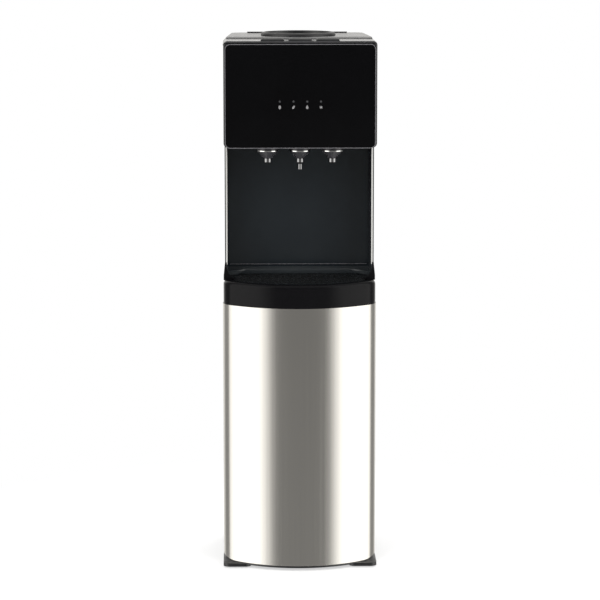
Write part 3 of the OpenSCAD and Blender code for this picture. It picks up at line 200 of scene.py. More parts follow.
def makeFloor(settings):
    shape = bmesh.new()
    bmesh.ops.create_grid(shape, x_segments=1, y_segments=1, size=settings["reach"])
    mesh = bpy.data.meshes.new("floor")
    shape.to_mesh(mesh)
    shape.free()
    floor = bpy.data.objects.new("floor", mesh)
    scene.collection.objects.link(floor)
    material = bpy.data.materials.new("paleFloor")
    material.use_nodes = True
    tree = material.node_tree
    tree.nodes.clear()
    matt = addNode(tree, "BsdfDiffuse", {"Color": settings["colour"]})
    glow = addNode(tree, "Emission", {"Color": (1, 1, 1, 1), "Strength": 1.0})
    path = addNode(tree, "LightPath")
    place = addNode(tree, "TexCoord").outputs["Object"]
    distance = addNode(tree, "VectorMath", {0: place}, operation="LENGTH").outputs["Value"]
    level = mapRange(tree, distance, settings["near"], settings["far"], settings["nearGlow"],
                     settings["farGlow"])
    share = mathNode(tree, "MULTIPLY", path.outputs["Is Camera Ray"], level)
    mix = addNode(tree, "MixShader", {0: share, 1: matt.outputs[0], 2: glow.outputs[0]})
    out = addNode(tree, "OutputMaterial")
    tree.links.new(mix.outputs[0], out.inputs["Surface"])
    mesh.materials.append(material)
    floor.visible_glossy = False


makeWorld(studio)
for lampName, lampSettings in lamps.items():
    makeLamp(lampName, lampSettings)
makeFloor(floorSettings)
print("studio ready")


# Surface groups: each gives a Height for a bump, a Shade for the colour and a Gloss for the
# roughness. The scales are copies of the pattern in a metre, the shares mix two patterns.
patterns = {
    "noiseRange": (0.3, 0.7),  # what most of the noise lies in, drawn out to 0 and 1
    "patchScale": 3.7,  # patches of gloss to a blotch
    "bandScale": 0.12,  # broad bands to a fine brush line
    "blotchShare": 0.35,
    "bandShare": 0.6,
    "cellShare": 0.3,
    "strandTwist": 1.4,
}


def startGroup(name, values):
    tree = bpy.data.node_groups.new(name, "ShaderNodeTree")
    for label, value in values.items():
        socket = tree.interface.new_socket(label, in_out="INPUT", socket_type="NodeSocketFloat")
        socket.default_value = value
    for label in ("Height", "Shade", "Gloss"):
        tree.interface.new_socket(label, in_out="OUTPUT", socket_type="NodeSocketFloat")
    return tree, tree.nodes.new("NodeGroupInput"), tree.nodes.new("NodeGroupOutput")


def endGroup(tree, leave, height, shade, gloss):
    for label, value in (("Height", height), ("Shade", shade), ("Gloss", gloss)):
        tree.links.new(value, leave.inputs[label])


def noise(tree, place, scale, detail=2.0, roughness=0.5):
    node = addNode(tree, "TexNoise", {
        "Vector": place, "Scale": scale, "Detail": detail, "Roughness": roughness})
    return mapRange(tree, node.outputs["Fac"], *patterns["noiseRange"], 0.0, 1.0)


def makeGrainGroup():
    tree, entry, leave = startGroup("fineGrain", {"Grain": 1200.0, "Blotch": 14.0})
    place = addNode(tree, "TexCoord").outputs["Object"]
    fine = noise(tree, place, entry.outputs["Grain"], 3.0, 0.6)
    coarse = noise(tree, place, entry.outputs["Blotch"], 3.0)
    patch = mathNode(tree, "MULTIPLY", entry.outputs["Blotch"], patterns["patchScale"])
    gloss = noise(tree, place, patch)
    endGroup(tree, leave, fine, coarse, gloss)
    return tree


def makeBrushGroup():
    tree, entry, leave = startGroup("brushLines", {
        "Lines": 1500.0, "Stretch": 0.008, "Blotch": 5.0})
    place = addNode(tree, "TexCoord").outputs["Object"]
    along = addNode(tree, "CombineXYZ", {0: 1.0, 1: 1.0, 2: entry.outputs["Stretch"]})
    drawn = addNode(tree, "VectorMath", {0: place, 1: along.outputs[0]}, operation="MULTIPLY")
    lines = noise(tree, drawn.outputs[0], entry.outputs["Lines"], 4.0, 0.65)
    broad = mathNode(tree, "MULTIPLY", entry.outputs["Lines"], patterns["bandScale"])
    bands = noise(tree, drawn.outputs[0], broad, 3.0)
    coarse = noise(tree, place, entry.outputs["Blotch"])
    shade = mixValues(tree, patterns["blotchShare"], bands, coarse)
    gloss = mixValues(tree, patterns["bandShare"], lines, bands)
    endGroup(tree, leave, lines, shade, gloss)
    return tree


def makeSpangleGroup():
    tree, entry, leave = startGroup("spangle", {"Cells": 160.0, "Grain": 1500.0})
    place = addNode(tree, "TexCoord").outputs["Object"]
    cells = addNode(tree, "TexVoronoi", {"Vector": place, "Scale": entry.outputs["Cells"]})
    shades = addNode(tree, "SeparateColor", {0: cells.outputs["Color"]})
    fine = noise(tree, place, entry.outputs["Grain"], 3.0, 0.6)
    tilt = mixValues(tree, patterns["cellShare"], fine, shades.outputs[2])
    endGroup(tree, leave, tilt, shades.outputs[0], shades.outputs[1])
    return tree


def makeFibreGroup():
    tree, entry, leave = startGroup("fibres", {"Grain": 420.0, "Blotch": 30.0})
    place = addNode(tree, "TexCoord").outputs["Object"]
    strands = addNode(tree, "TexNoise", {
        "Vector": place, "Scale": entry.outputs["Grain"], "Detail": 5.0, "Roughness": 0.7,
        "Distortion": patterns["strandTwist"]})
    cells = addNode(tree, "TexVoronoi", {"Vector": place, "Scale": entry.outputs["Grain"]})
    height = mathNode(tree, "ADD", strands.outputs["Fac"], cells.outputs["Distance"])
    coarse = noise(tree, place, entry.outputs["Blotch"], 3.0)
    endGroup(tree, leave, height, coarse, strands.outputs["Fac"])
    return tree


surfaces = {
    "fineGrain": makeGrainGroup(),
    "brushLines": makeBrushGroup(),
    "spangle": makeSpangleGroup(),
    "fibres": makeFibreGroup(),
}
print("surface groups ready")


# Finishes: colour and tone are the two ends of the shade, depth is the height of the bump
finishes = {
    "frontSteel": {
        "surface": "brushLines", "scales": {"Lines": 1800.0, "Stretch": 0.006, "Blotch": 3.0},
        "colour": (0.60, 0.585, 0.555), "tone": (0.66, 0.645, 0.61), "roughness": (0.17, 0.25),
        "depth": 0.006 * mm, "metallic": 1.0},
    "tankSteel": {
        "surface": "brushLines", "scales": {"Lines": 900.0, "Stretch": 0.02, "Blotch": 9.0},
        "colour": (0.55, 0.55, 0.53), "tone": (0.63, 0.63, 0.61), "roughness": (0.2, 0.34),
        "depth": 0.01 * mm, "metallic": 1.0},
    "blackPaint": {
        "surface": "fineGrain", "scales": {"Grain": 1100.0, "Blotch": 6.0},
        "colour": (0.012, 0.0125, 0.0135), "tone": (0.0135, 0.014, 0.0152),
        "roughness": (0.4, 0.43), "depth": 0.035 * mm},
    "shellPaint": {
        "surface": "fineGrain", "scales": {"Grain": 520.0, "Blotch": 18.0},
        "colour": (0.012, 0.012, 0.013), "tone": (0.02, 0.02, 0.021),
        "roughness": (0.28, 0.42), "depth": 0.06 * mm},
    "zincPlate": {
        "surface": "spangle", "scales": {"Cells": 120.0, "Grain": 1500.0},
        "colour": (0.43, 0.44, 0.45), "tone": (0.55, 0.56, 0.575), "roughness": (0.3, 0.46),
        "depth": 0.01 * mm, "metallic": 1.0},
    "copperTube": {
        "surface": "fineGrain", "scales": {"Grain": 700.0, "Blotch": 34.0},
        "colour": (0.66, 0.30, 0.18), "tone": (0.52, 0.22, 0.12), "roughness": (0.22, 0.4),
        "depth": 0.01 * mm, "metallic": 1.0},
    "glossBlack": {
        "surface": "fineGrain", "scales": {"Grain": 60.0, "Blotch": 9.0},
        "colour": (0.0019, 0.0019, 0.0021), "tone": (0.0024, 0.0024, 0.0027),
        "roughness": (0.05, 0.09), "depth": 0.004 * mm, "specular": 0.06},
    "bandBlack": {
        "surface": "fineGrain", "scales": {"Grain": 60.0, "Blotch": 9.0},
        "colour": (0.0031, 0.003, 0.0035), "tone": (0.004, 0.0039, 0.0045),
        "roughness": (0.12, 0.18), "depth": 0.004 * mm, "specular": 0.09},
    "grillePlastic": {
        "surface": "fineGrain", "scales": {"Grain": 1500.0, "Blotch": 16.0},
        "colour": (0.005, 0.0052, 0.0055), "tone": (0.0085, 0.0088, 0.0092),
        "roughness": (0.22, 0.3), "depth": 0.03 * mm, "specular": 0.5},
    "glossSlate": {
        "surface": "fineGrain", "scales": {"Grain": 45.0, "Blotch": 7.0},
        "colour": (0.0088, 0.0118, 0.0145), "tone": (0.011, 0.0145, 0.0172),
        "roughness": (0.12, 0.18), "depth": 0.006 * mm, "specular": 0.42},
    "slatePlastic": {
        "surface": "fineGrain", "scales": {"Grain": 1300.0, "Blotch": 12.0},
        "colour": (0.016, 0.019, 0.021), "tone": (0.02, 0.0235, 0.026),
        "roughness": (0.3, 0.4), "depth": 0.02 * mm},
    "hoodPlastic": {
        "surface": "fineGrain", "scales": {"Grain": 1400.0, "Blotch": 11.0},
        "colour": (0.008, 0.0083, 0.009), "tone": (0.011, 0.0115, 0.012),
        "roughness": (0.16, 0.24), "depth": 0.01 * mm},
    "deckPlastic": {
        "surface": "fineGrain", "scales": {"Grain": 1400.0, "Blotch": 12.0},
        "colour": (0.03, 0.03, 0.031), "tone": (0.038, 0.038, 0.04),
        "roughness": (0.14, 0.2), "depth": 0.006 * mm, "specular": 0.6},
    "lidPlastic": {
        "surface": "fineGrain", "scales": {"Grain": 1400.0, "Blotch": 12.0},
        "colour": (0.03, 0.03, 0.031), "tone": (0.038, 0.038, 0.04),
        "roughness": (0.16, 0.22), "depth": 0.006 * mm, "specular": 0.09},
    "chrome": {
        "surface": "fineGrain", "scales": {"Grain": 900.0, "Blotch": 30.0},
        "colour": (0.72, 0.72, 0.71), "tone": (0.78, 0.78, 0.77), "roughness": (0.06, 0.12),
        "depth": 0.002 * mm, "metallic": 1.0},
    "tipChrome": {
        "surface": "fineGrain", "scales": {"Grain": 900.0, "Blotch": 30.0},
        "colour": (0.27, 0.27, 0.275), "tone": (0.31, 0.31, 0.315), "roughness": (0.05, 0.1),
        "depth": 0.002 * mm, "metallic": 1.0},
    "blackPlastic": {
        "surface": "fineGrain", "scales": {"Grain": 1500.0, "Blotch": 16.0},
        "colour": (0.009, 0.0092, 0.0098), "tone": (0.0135, 0.0138, 0.0145),
        "roughness": (0.34, 0.46), "depth": 0.03 * mm},
    "keyPlastic": {
        "surface": "fineGrain", "scales": {"Grain": 1700.0, "Blotch": 20.0},
        "colour": (0.011, 0.0113, 0.012), "tone": (0.016, 0.0165, 0.0175),
        "roughness": (0.42, 0.55), "depth": 0.03 * mm},
    "tapPlastic": {
        "surface": "fineGrain", "scales": {"Grain": 1500.0, "Blotch": 20.0},
        "colour": (0.006, 0.0062, 0.0068), "tone": (0.009, 0.0093, 0.01),
        "roughness": (0.14, 0.22), "depth": 0.01 * mm, "specular": 0.3},
    "shroudPlastic": {
        "surface": "fineGrain", "scales": {"Grain": 1500.0, "Blotch": 20.0},
        "colour": (0.024, 0.024, 0.027), "tone": (0.03, 0.03, 0.034),
        "roughness": (0.2, 0.28), "depth": 0.01 * mm, "specular": 0.4},
    "whitePlastic": {
        "surface": "fineGrain", "scales": {"Grain": 1300.0, "Blotch": 20.0},
        "colour": (0.72, 0.73, 0.71), "tone": (0.78, 0.785, 0.77), "roughness": (0.32, 0.44),
        "depth": 0.015 * mm},
    "silicone": {
        "surface": "fineGrain", "scales": {"Grain": 600.0, "Blotch": 25.0},
        "colour": (0.6, 0.59, 0.55), "tone": (0.68, 0.67, 0.63), "roughness": (0.34, 0.48),
        "depth": 0.02 * mm},
    "rubber": {
        "surface": "fineGrain", "scales": {"Grain": 900.0, "Blotch": 40.0},
        "colour": (0.012, 0.012, 0.012), "tone": (0.02, 0.0195, 0.019),
        "roughness": (0.66, 0.82), "depth": 0.05 * mm},
    "lensPlastic": {
        "surface": "fineGrain", "scales": {"Grain": 1400.0, "Blotch": 90.0},
        "colour": (0.035, 0.036, 0.038), "tone": (0.045, 0.046, 0.048), "roughness": (0.2, 0.3),
        "depth": 0.01 * mm},
    "boardLacquer": {
        "surface": "fineGrain", "scales": {"Grain": 800.0, "Blotch": 60.0},
        "colour": (0.02, 0.11, 0.05), "tone": (0.035, 0.16, 0.075), "roughness": (0.2, 0.34),
        "depth": 0.03 * mm},
    "rigidFoam": {
        "surface": "fibres", "scales": {"Grain": 260.0, "Blotch": 18.0},
        "colour": (0.72, 0.62, 0.40), "tone": (0.80, 0.72, 0.52), "roughness": (0.75, 0.95),
        "depth": 0.3 * mm},
    "jacketFelt": {
        "surface": "fibres", "scales": {"Grain": 420.0, "Blotch": 24.0},
        "colour": (0.60, 0.60, 0.57), "tone": (0.70, 0.70, 0.67), "roughness": (0.8, 0.96),
        "depth": 0.25 * mm},
    "rockerRed": {
        "surface": "fineGrain", "scales": {"Grain": 1300.0, "Blotch": 40.0},
        "colour": (0.42, 0.012, 0.01), "tone": (0.5, 0.02, 0.014), "roughness": (0.22, 0.32),
        "depth": 0.01 * mm},
    "rockerGreen": {
        "surface": "fineGrain", "scales": {"Grain": 1300.0, "Blotch": 40.0},
        "colour": (0.012, 0.2, 0.045), "tone": (0.018, 0.26, 0.06), "roughness": (0.22, 0.32),
        "depth": 0.01 * mm},
    # lighter grey that paints highlights: the strip over the alcove cove and the rim round the
    # hood plate
    "paintedHighlightGrey": {
        "surface": "fineGrain", "scales": {"Grain": 1500.0, "Blotch": 40.0},
        "colour": (0.085, 0.083, 0.09), "tone": (0.105, 0.103, 0.11),
        "roughness": (0.22, 0.32), "depth": 0.006 * mm, "specular": 0.35},
    "printGrey": {
        "surface": "fineGrain", "scales": {"Grain": 2000.0, "Blotch": 200.0},
        "colour": (0.15, 0.148, 0.152), "tone": (0.19, 0.188, 0.192),
        "roughness": (0.4, 0.5), "depth": 0.003 * mm},
}


def makeFinish(name, settings):
    material = bpy.data.materials.new(name)
    material.use_nodes = True
    tree = material.node_tree
    skin = tree.nodes["Principled BSDF"]
    surface = tree.nodes.new("ShaderNodeGroup")
    surface.node_tree = surfaces[settings["surface"]]
    for label, value in settings["scales"].items():
        surface.inputs[label].default_value = value
    colour = addNode(tree, "Mix", {
        0: surface.outputs["Shade"], 6: (*settings["colour"], 1), 7: (*settings["tone"], 1)},
        data_type="RGBA")
    low, high = settings["roughness"]
    rough = mapRange(tree, surface.outputs["Gloss"], 0.0, 1.0, low, high)
    bump = addNode(tree, "Bump", {
        "Height": surface.outputs["Height"], "Distance": settings["depth"], "Strength": 1.0})
    tree.links.new(colour.outputs[2], skin.inputs["Base Color"])
    tree.links.new(rough, skin.inputs["Roughness"])
    tree.links.new(bump.outputs["Normal"], skin.inputs["Normal"])
    skin.inputs["Metallic"].default_value = settings.get("metallic", 0.0)
    skin.inputs["Specular IOR Level"].default_value = settings.get("specular", 0.5)
    material.diffuse_color = (*settings["colour"], 1)
    return material


materials = {name: makeFinish(name, settings) for name, settings in finishes.items()}
print("finishes ready:", len(materials))


# How near points are that a cut or a merge takes for one, and the bend that shows as an edge
meshLimits = {"cut": 0.001 * mm, "merge": 0.002 * mm, "seam": 0.005 * mm, "smoothBelow": 32}


# Turns a bmesh into an object at the origin that rides on a body and may stand for CAD nodes
def addPiece(name, shape, finish, body, replaced=(), weighted=True):
    mesh = bpy.data.meshes.new(name)
    shape.to_mesh(mesh)
    shape.free()
    for face in mesh.polygons:
        face.use_smooth = True
    mesh.set_sharp_from_angle(angle=radians(meshLimits["smoothBelow"]))
    mesh.materials.append(materials[finish])
    piece = bpy.data.objects.new(name, mesh)
    scene.collection.objects.link(piece)
    if weighted:
        piece.modifiers.new("weighted", "WEIGHTED_NORMAL").keep_sharp = True
    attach(piece, body)
    if replaced:
        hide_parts(*replaced)
    return piece


# Gives an open sheet its thickness, breaks its edges and evens out its shading
def thicken(piece, settings):
    wall = piece.modifiers.new("sheet", "SOLIDIFY")
    wall.thickness = settings["sheet"]
    wall.offset = -1
    edge = piece.modifiers.new("edge", "BEVEL")
    edge.width = settings["edge"]
    edge.segments = settings["edgeSteps"]
    edge.limit_method = "ANGLE"
    edge.angle_limit = radians(settings["edgeBend"])
    piece.modifiers.new("weighted", "WEIGHTED_NORMAL").weight = settings["faceWeight"]


# Cuts a whole shape along a plane and, if asked, clears what lies beyond it
def cutThrough(shape, place, facing, clear=False):
    bmesh.ops.bisect_plane(
        shape, geom=shape.verts[:] + shape.edges[:] + shape.faces[:], plane_co=place,
        plane_no=facing, clear_outer=clear, dist=meshLimits["cut"])


# Rounds edges, which stop short where they would run into each other
def roundEdges(shape, edges, width, segments):
    bmesh.ops.bevel(
        shape, geom=edges, offset=width, offset_type="OFFSET", segments=segments, profile=0.5,
        affect="EDGES", clamp_overlap=True, material=-1)


# A closed line of edges through the points
def closedLine(shape, points):
    verts = [shape.verts.new(point) for point in points]
    return [shape.edges.new((verts[i - 1], verts[i])) for i in range(len(verts))]


# Moves what an extrusion has grown
def moveGrown(shape, grown, move):
    verts = [item for item in grown["geom"] if isinstance(item, bmesh.types.BMVert)]
    bmesh.ops.translate(shape, verts=verts, vec=move)


# A solid between a flat outline and its copy moved along
def extrudeOutline(shape, points, move):
    face = shape.faces.new([shape.verts.new(point) for point in points])
    moveGrown(shape, bmesh.ops.extrude_face_region(shape, geom=[face]), move)


# Outline with round corners, each given by its place, radius and the degrees that it starts at
def roundOutline(corners, steps):
    points = []
    for across, up, radius, start in corners:
        middleAcross = across - radius if start in (0, 270) else across + radius
        middleUp = up - radius if start in (0, 90) else up + radius
        for i in range(steps + 1):
            turn = radians(start + 90 * i / steps)
            points.append((middleAcross + radius * cos(turn), middleUp + radius * sin(turn)))
    return points


# Colours a CAD node that keeps its own shape
def paintNode(node, finish):
    mesh = nodes[node].data
    mesh.materials.clear()
    mesh.materials.append(materials[finish])
    for face in mesh.polygons:
        face.material_index = 0


bodyOf = {node: body for body, members in frame["record"]["behaviour"]["bodies"].items()
          for node in members}


# The lowest and the highest corner of a CAD node
def nodeBox(node):
    points = [nodes[node].matrix_world @ v.co for v in nodes[node].data.vertices]
    return [[pick(p[axis] for p in points) for axis in range(3)] for pick in (min, max)]


def middleOf(box, axis):
    return (box[0][axis] + box[1][axis]) / 2


# Draws the hood in to the width that the photograph shows and rounds its upper corners. What
# lies further than "from" to a side moves, and the hood's side, at "half", moves the most.
hoodFit = {"from": 100 * mm, "half": 151 * mm, "slim": 1.5 * mm, "corner": 8 * mm, "steps": 6}


def slimmed(x):
    over = max(0, abs(x) - hoodFit["from"]) / (hoodFit["half"] - hoodFit["from"])
    return x - copysign(hoodFit["slim"] * over, x)


def slimHood(shape):
    for vert in shape.verts:
        vert.co.x = slimmed(vert.co.x)


def roundHood(shape):
    slimHood(shape)
    top, right = nodeBox("key_deck")[1][2], slimmed(nodeBox("hood_frame")[1][0])
    radius, steps = hoodFit["corner"], hoodFit["steps"]
    for side in (-1, 1):
        middle = Vector((side * (right - radius), 0, top - radius))
        for i in range(steps):
            turn = pi / 2 * (i + 0.5) / steps
            away = Vector((side * sin(turn), 0, cos(turn)))
            cutThrough(shape, middle + away * radius, away, clear=True)
            rim = [edge for edge in shape.edges if edge.is_boundary]
            if rim:
                bmesh.ops.triangle_fill(shape, edges=rim, use_beauty=True, use_dissolve=True)
    bmesh.ops.recalc_face_normals(shape, faces=shape.faces)


# Flattens the cap of a key above the deck
keyCap = {"share": 0.66}


def lowerKey(shape):
    deckZ = nodeBox("key_deck")[1][2]
    for vert in shape.verts:
        if vert.co.z > deckZ:
            vert.co.z = deckZ + (vert.co.z - deckZ) * keyCap["share"]


# Draws the band and the base out to the widths that the photograph shows, with the steel front
wideBody = {
    "from": 120 * mm, "half": 148 * mm, "shelf": 3.2 * mm, "base": 2.6 * mm, "steel": 4.6 * mm,
    "step": 0.5 * mm, "clear": 0.1 * mm,
}


# In front of the side panels all of a shape gets wider, behind their front edges only what
# lies below a height. Two cuts keep the step between them narrow.
def widen(shape, grow, below):
    rear = nodeBox("left_side_panel")[0][1] - wideBody["clear"]
    for y in (rear, rear - wideBody["step"]):
        cutThrough(shape, (0, y, 0), (0, 1, 0))
    for vert in shape.verts:
        share = (abs(vert.co.x) - wideBody["from"]) / (wideBody["half"] - wideBody["from"])
        if share > 0 and (vert.co.y < rear - wideBody["step"] / 2 or vert.co.z < below):
            vert.co.x += copysign(grow * min(share, 1), vert.co.x)


def widenShelf(shape):
    widen(shape, wideBody["shelf"], 0)


def widenBase(shape):
    widen(shape, wideBody["base"], nodeBox("front_panel")[0][2] + wideBody["step"])


# Degrees: flatter faces are joined, edges that bend more are broken
dressing = {"flat": 0.4, "bend": 40, "segments": 2}


# A merged copy of a CAD node with its outer edges broken, which then stands for the node
def dressNode(node, finish, edge, reshape=None):
    shape = bmesh.new()
    shape.from_mesh(nodes[node].data)
    bmesh.ops.remove_doubles(shape, verts=shape.verts, dist=meshLimits["merge"])
    if reshape:
        reshape(shape)
    bmesh.ops.dissolve_limit(
        shape, angle_limit=radians(dressing["flat"]), use_dissolve_boundaries=False,
        verts=shape.verts, edges=shape.edges, delimit=set())
    if edge:
        bend = radians(dressing["bend"])
        corners = [e for e in shape.edges
                   if len(e.link_faces) == 2 and e.calc_face_angle_signed(0) > bend]
        roundEdges(shape, corners, edge, dressing["segments"])
    bmesh.ops.triangulate(shape, faces=[f for f in shape.faces if len(f.verts) > 4])
    return addPiece(node + "Dressed", shape, finish, bodyOf[node], (node,))


# Node, finish and width of the broken edge
dressed = {
    "base_pan": ("blackPlastic", 0.6 * mm),
    "rubber_feet": ("rubber", 0.8 * mm),
    "left_side_panel": ("blackPaint", 0.15 * mm),
    "right_side_panel": ("blackPaint", 0.15 * mm),
    "rear_panel": ("zincPlate", 0.15 * mm),
    "shelf": ("bandBlack", 0.5 * mm),
    "drip_tray": ("bandBlack", 0.4 * mm),
    "drip_grille": ("grillePlastic", 0.6 * mm),
    "alcove_liner": ("slatePlastic", 0.5 * mm),
    "alcove_back_panel": ("glossSlate", 0.4 * mm),
    "hood_frame": ("hoodPlastic", 0.3 * mm),
    "fascia_plate": ("glossBlack", 0.5 * mm),
    "key_deck": ("deckPlastic", 0.8 * mm),
    "hot_key": ("keyPlastic", 0.8 * mm),
    "ambient_key": ("keyPlastic", 0.8 * mm),
    "cold_key": ("keyPlastic", 0.8 * mm),
    "hot_tap": ("tapPlastic", 0.3 * mm),
    "ambient_tap": ("tapPlastic", 0.3 * mm),
    "cold_tap": ("tapPlastic", 0.3 * mm),
    "bottle_collar": ("blackPlastic", 0.4 * mm),
    "water_guard": ("whitePlastic", 0.4 * mm),
    "compressor": ("shellPaint", 0.5 * mm),
    "relay_cover": ("blackPlastic", 1.0 * mm),
    "condenser_brackets": ("zincPlate", 0.2 * mm),
    "switch_bezels": ("blackPlastic", 0.5 * mm),
    "heat_switch": ("rockerRed", 0.4 * mm),
    "cool_switch": ("rockerGreen", 0.4 * mm),
    "drain_outlet": ("blackPlastic", 0.4 * mm),
    "drain_cap": ("blackPlastic", 0.3 * mm),
    "cord_gland": ("blackPlastic", 0.5 * mm),
    "rear_screws": ("zincPlate", 0.1 * mm),
}

# What is done to a node's shape before its edges are broken
reshaped = {
    "shelf": widenShelf, "base_pan": widenBase, "hood_frame": roundHood, "key_deck": roundHood,
    "fascia_plate": slimHood, "hot_key": lowerKey, "ambient_key": lowerKey, "cold_key": lowerKey,
}

# Nodes that keep their own shape, with their finish
painted = {
    "indicator_lenses": "lensPlastic", "control_board": "boardLacquer",
    "key_bracket": "blackPlastic", "key_shaft": "zincPlate",
    "hot_rod": "whitePlastic", "ambient_rod": "whitePlastic", "cold_rod": "whitePlastic",
    "tank_seal": "rubber", "tank_baffle": "whitePlastic", "cold_tank": "tankSteel",
    "evaporator_coil": "copperTube", "tank_foam": "rigidFoam", "foam_support": "zincPlate",
    "hot_tank": "tankSteel", "heater_band": "zincPlate", "hot_tank_jacket": "jacketFelt",
    "hot_tank_shelf": "zincPlate", "water_hoses": "silicone", "compressor_grommets": "rubber",
    "suction_pipe": "copperTube", "discharge_pipe": "copperTube", "filter_dryer": "copperTube",
    "condenser_coil": "shellPaint", "condenser_wires": "shellPaint",
}

noReflection = ("base_pan", "rubber_feet")  # the photograph's steel doesn't mirror them

for node, finish in painted.items():
    paintNode(node, finish)
for node, (finish, edge) in dressed.items():
    piece = dressNode(node, finish, edge, reshaped.get(node))
    piece.visible_glossy = node not in noReflection
print("nodes dressed:", len(dressed), "painted:", len(painted))


# The return springs stand on the bracket; each is dressed and given a mesh of its own
returnSpring = {"finish": "zincPlate", "stroke": 3.2 * mm}


def makeSprings(settings):
    for tap in ("hot", "ambient", "cold"):
        box = nodeBox(tap + "_spring")
        piece = dressNode(tap + "_spring", settings["finish"], 0)
        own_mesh(piece)


makeSprings(returnSpring)


# The bowed stainless front: one bent sheet with round corners and a flange at each side. Its
# lower edge rises towards the corners.
frontSheet = {
    "bowRadius": 198.9 * mm, "cornerRadius": 45 * mm, "flange": 11 * mm, "bowSteps": 60,
    "cornerSteps": 24, "riseFrom": 128 * mm, "rise": 7.5 * mm, "riseCurve": 2,
    "sheet": 0.8 * mm, "edge": 0.25 * mm, "edgeSteps": 2, "edgeBend": 50, "faceWeight": 100,
}


# The path of the sheet seen from above: a bow, a corner and a flange at the right, mirrored to
# the left
def bowPath(box, settings):
    radius, corner = settings["bowRadius"], settings["cornerRadius"]
    halfWidth, front, sideEnd = box[1][0], box[0][1], box[1][1]
    cornerX = halfWidth - corner
    bowAngle = asin(cornerX / (radius - corner))
    cornerY = front + radius - (radius - corner) * cos(bowAngle)
    right = []
    for i in range(settings["bowSteps"] + 1):
        turn = bowAngle * i / settings["bowSteps"]
        right.append((radius * sin(turn), front + radius - radius * cos(turn)))
    for i in range(1, settings["cornerSteps"] + 1):
        turn = bowAngle + (pi / 2 - bowAngle) * i / settings["cornerSteps"]
        right.append((cornerX + corner * sin(turn), cornerY - corner * cos(turn)))
    right += [(halfWidth, sideEnd), (halfWidth - settings["flange"], sideEnd)]
    return [(-x, y) for x, y in reversed(right[1:])] + right


def makeSteelFront(settings):
    box = nodeBox("front_panel")
    box[1][0] += wideBody["steel"]
    shape = bmesh.new()
    lower = [shape.verts.new((x, y, box[0][2])) for x, y in bowPath(box, settings)]
    edges = [shape.edges.new(pair) for pair in zip(lower, lower[1:])]
    grown = bmesh.ops.extrude_edge_only(shape, edges=edges)
    moveGrown(shape, grown, (0, 0, box[1][2] - box[0][2]))
    span = box[1][0] - settings["riseFrom"]
    for vert in lower:
        share = max(0, abs(vert.co.x) - settings["riseFrom"]) / span
        vert.co.z += settings["rise"] * share ** settings["riseCurve"]
    shape.normal_update()
    foremost = min(shape.faces, key=lambda face: face.calc_center_median().y)
    if foremost.normal.y > 0:
        bmesh.ops.reverse_faces(shape, faces=shape.faces)
    piece = addPiece("steelFront", shape, "frontSteel", "cabinet", ("front_panel",),
                     weighted=False)
    thicken(piece, settings)


makeSteelFront(frontSheet)
print("steel front ready")


# Cover of the top behind the hood: its sides lean in towards the rear and its front edge slopes
# down to the hood
deckLid = {
    "frontInset": 7 * mm, "rearInset": 17 * mm, "frontCorner": 3 * mm, "rearCorner": 14 * mm,
    "topCorner": 22 * mm, "cornerSteps": 10, "holeRadius": 70 * mm, "holeSteps": 120,
    "slope": 12 * mm, "drop": 2.4 * mm, "sheet": 2.4 * mm, "edge": 2.2 * mm, "edgeSteps": 3,
    "edgeBend": 35, "faceWeight": 90,
}


# The cover seen from above, its rear corners first
def lidOutline(frontHalf, rearHalf, frontY, rearY, frontCorner, rearCorner, steps):
    return roundOutline(
        ((rearHalf, rearY, rearCorner, 0), (-rearHalf, rearY, rearCorner, 90),
         (-frontHalf, frontY, frontCorner, 180), (frontHalf, frontY, frontCorner, 270)), steps)


def makeDeckLid(settings):
    low, high = nodeBox("rear_deck")
    half, front, steps = high[0], low[1], settings["cornerSteps"]
    inset = settings["frontInset"]
    shape = bmesh.new()
    base = lidOutline(half, half, front, high[1], settings["frontCorner"],
                      settings["rearCorner"], steps)
    crown = lidOutline(half - inset, half - settings["rearInset"], front, high[1] - inset,
                       settings["frontCorner"], settings["topCorner"], steps)
    lower = closedLine(shape, [(x, y, low[2]) for x, y in base])
    upper = closedLine(shape, [(x, y, high[2]) for x, y in crown])
    bmesh.ops.bridge_loops(shape, edges=lower + upper)
    bmesh.ops.create_circle(
        shape, cap_ends=False, radius=settings["holeRadius"], segments=settings["holeSteps"],
        matrix=Matrix.Translation((0, middleOf(nodeBox("bottle_collar"), 1), high[2])))
    hole = [edge for edge in shape.edges if edge.is_wire]
    bmesh.ops.triangle_fill(shape, edges=upper + hole, use_beauty=True, use_dissolve=False)
    slopeY = front + settings["slope"]
    cutThrough(shape, (0, slopeY, 0), (0, 1, 0))
    for vert in shape.verts:
        if vert.co.z > high[2] - settings["drop"] and vert.co.y < slopeY:
            vert.co.z -= settings["drop"] * (slopeY - vert.co.y) / settings["slope"]
    bmesh.ops.recalc_face_normals(shape, faces=shape.faces)
    crownFace = max(shape.faces, key=lambda face: face.calc_center_median().z)
    if crownFace.normal.z < 0:
        bmesh.ops.reverse_faces(shape, faces=shape.faces)
    piece = addPiece("deckLid", shape, "lidPlastic", "cabinet", ("rear_deck",),
                     weighted=False)
    thicken(piece, settings)


makeDeckLid(deckLid)


# Low strip along the rear of the cover
rearStrip = {
    "half": 102 * mm, "depth": 7 * mm, "height": 1.9 * mm, "inset": 10 * mm, "end": 3.15 * mm,
    "endSteps": 5, "edge": 0.57 * mm, "edgeSteps": 3,
}


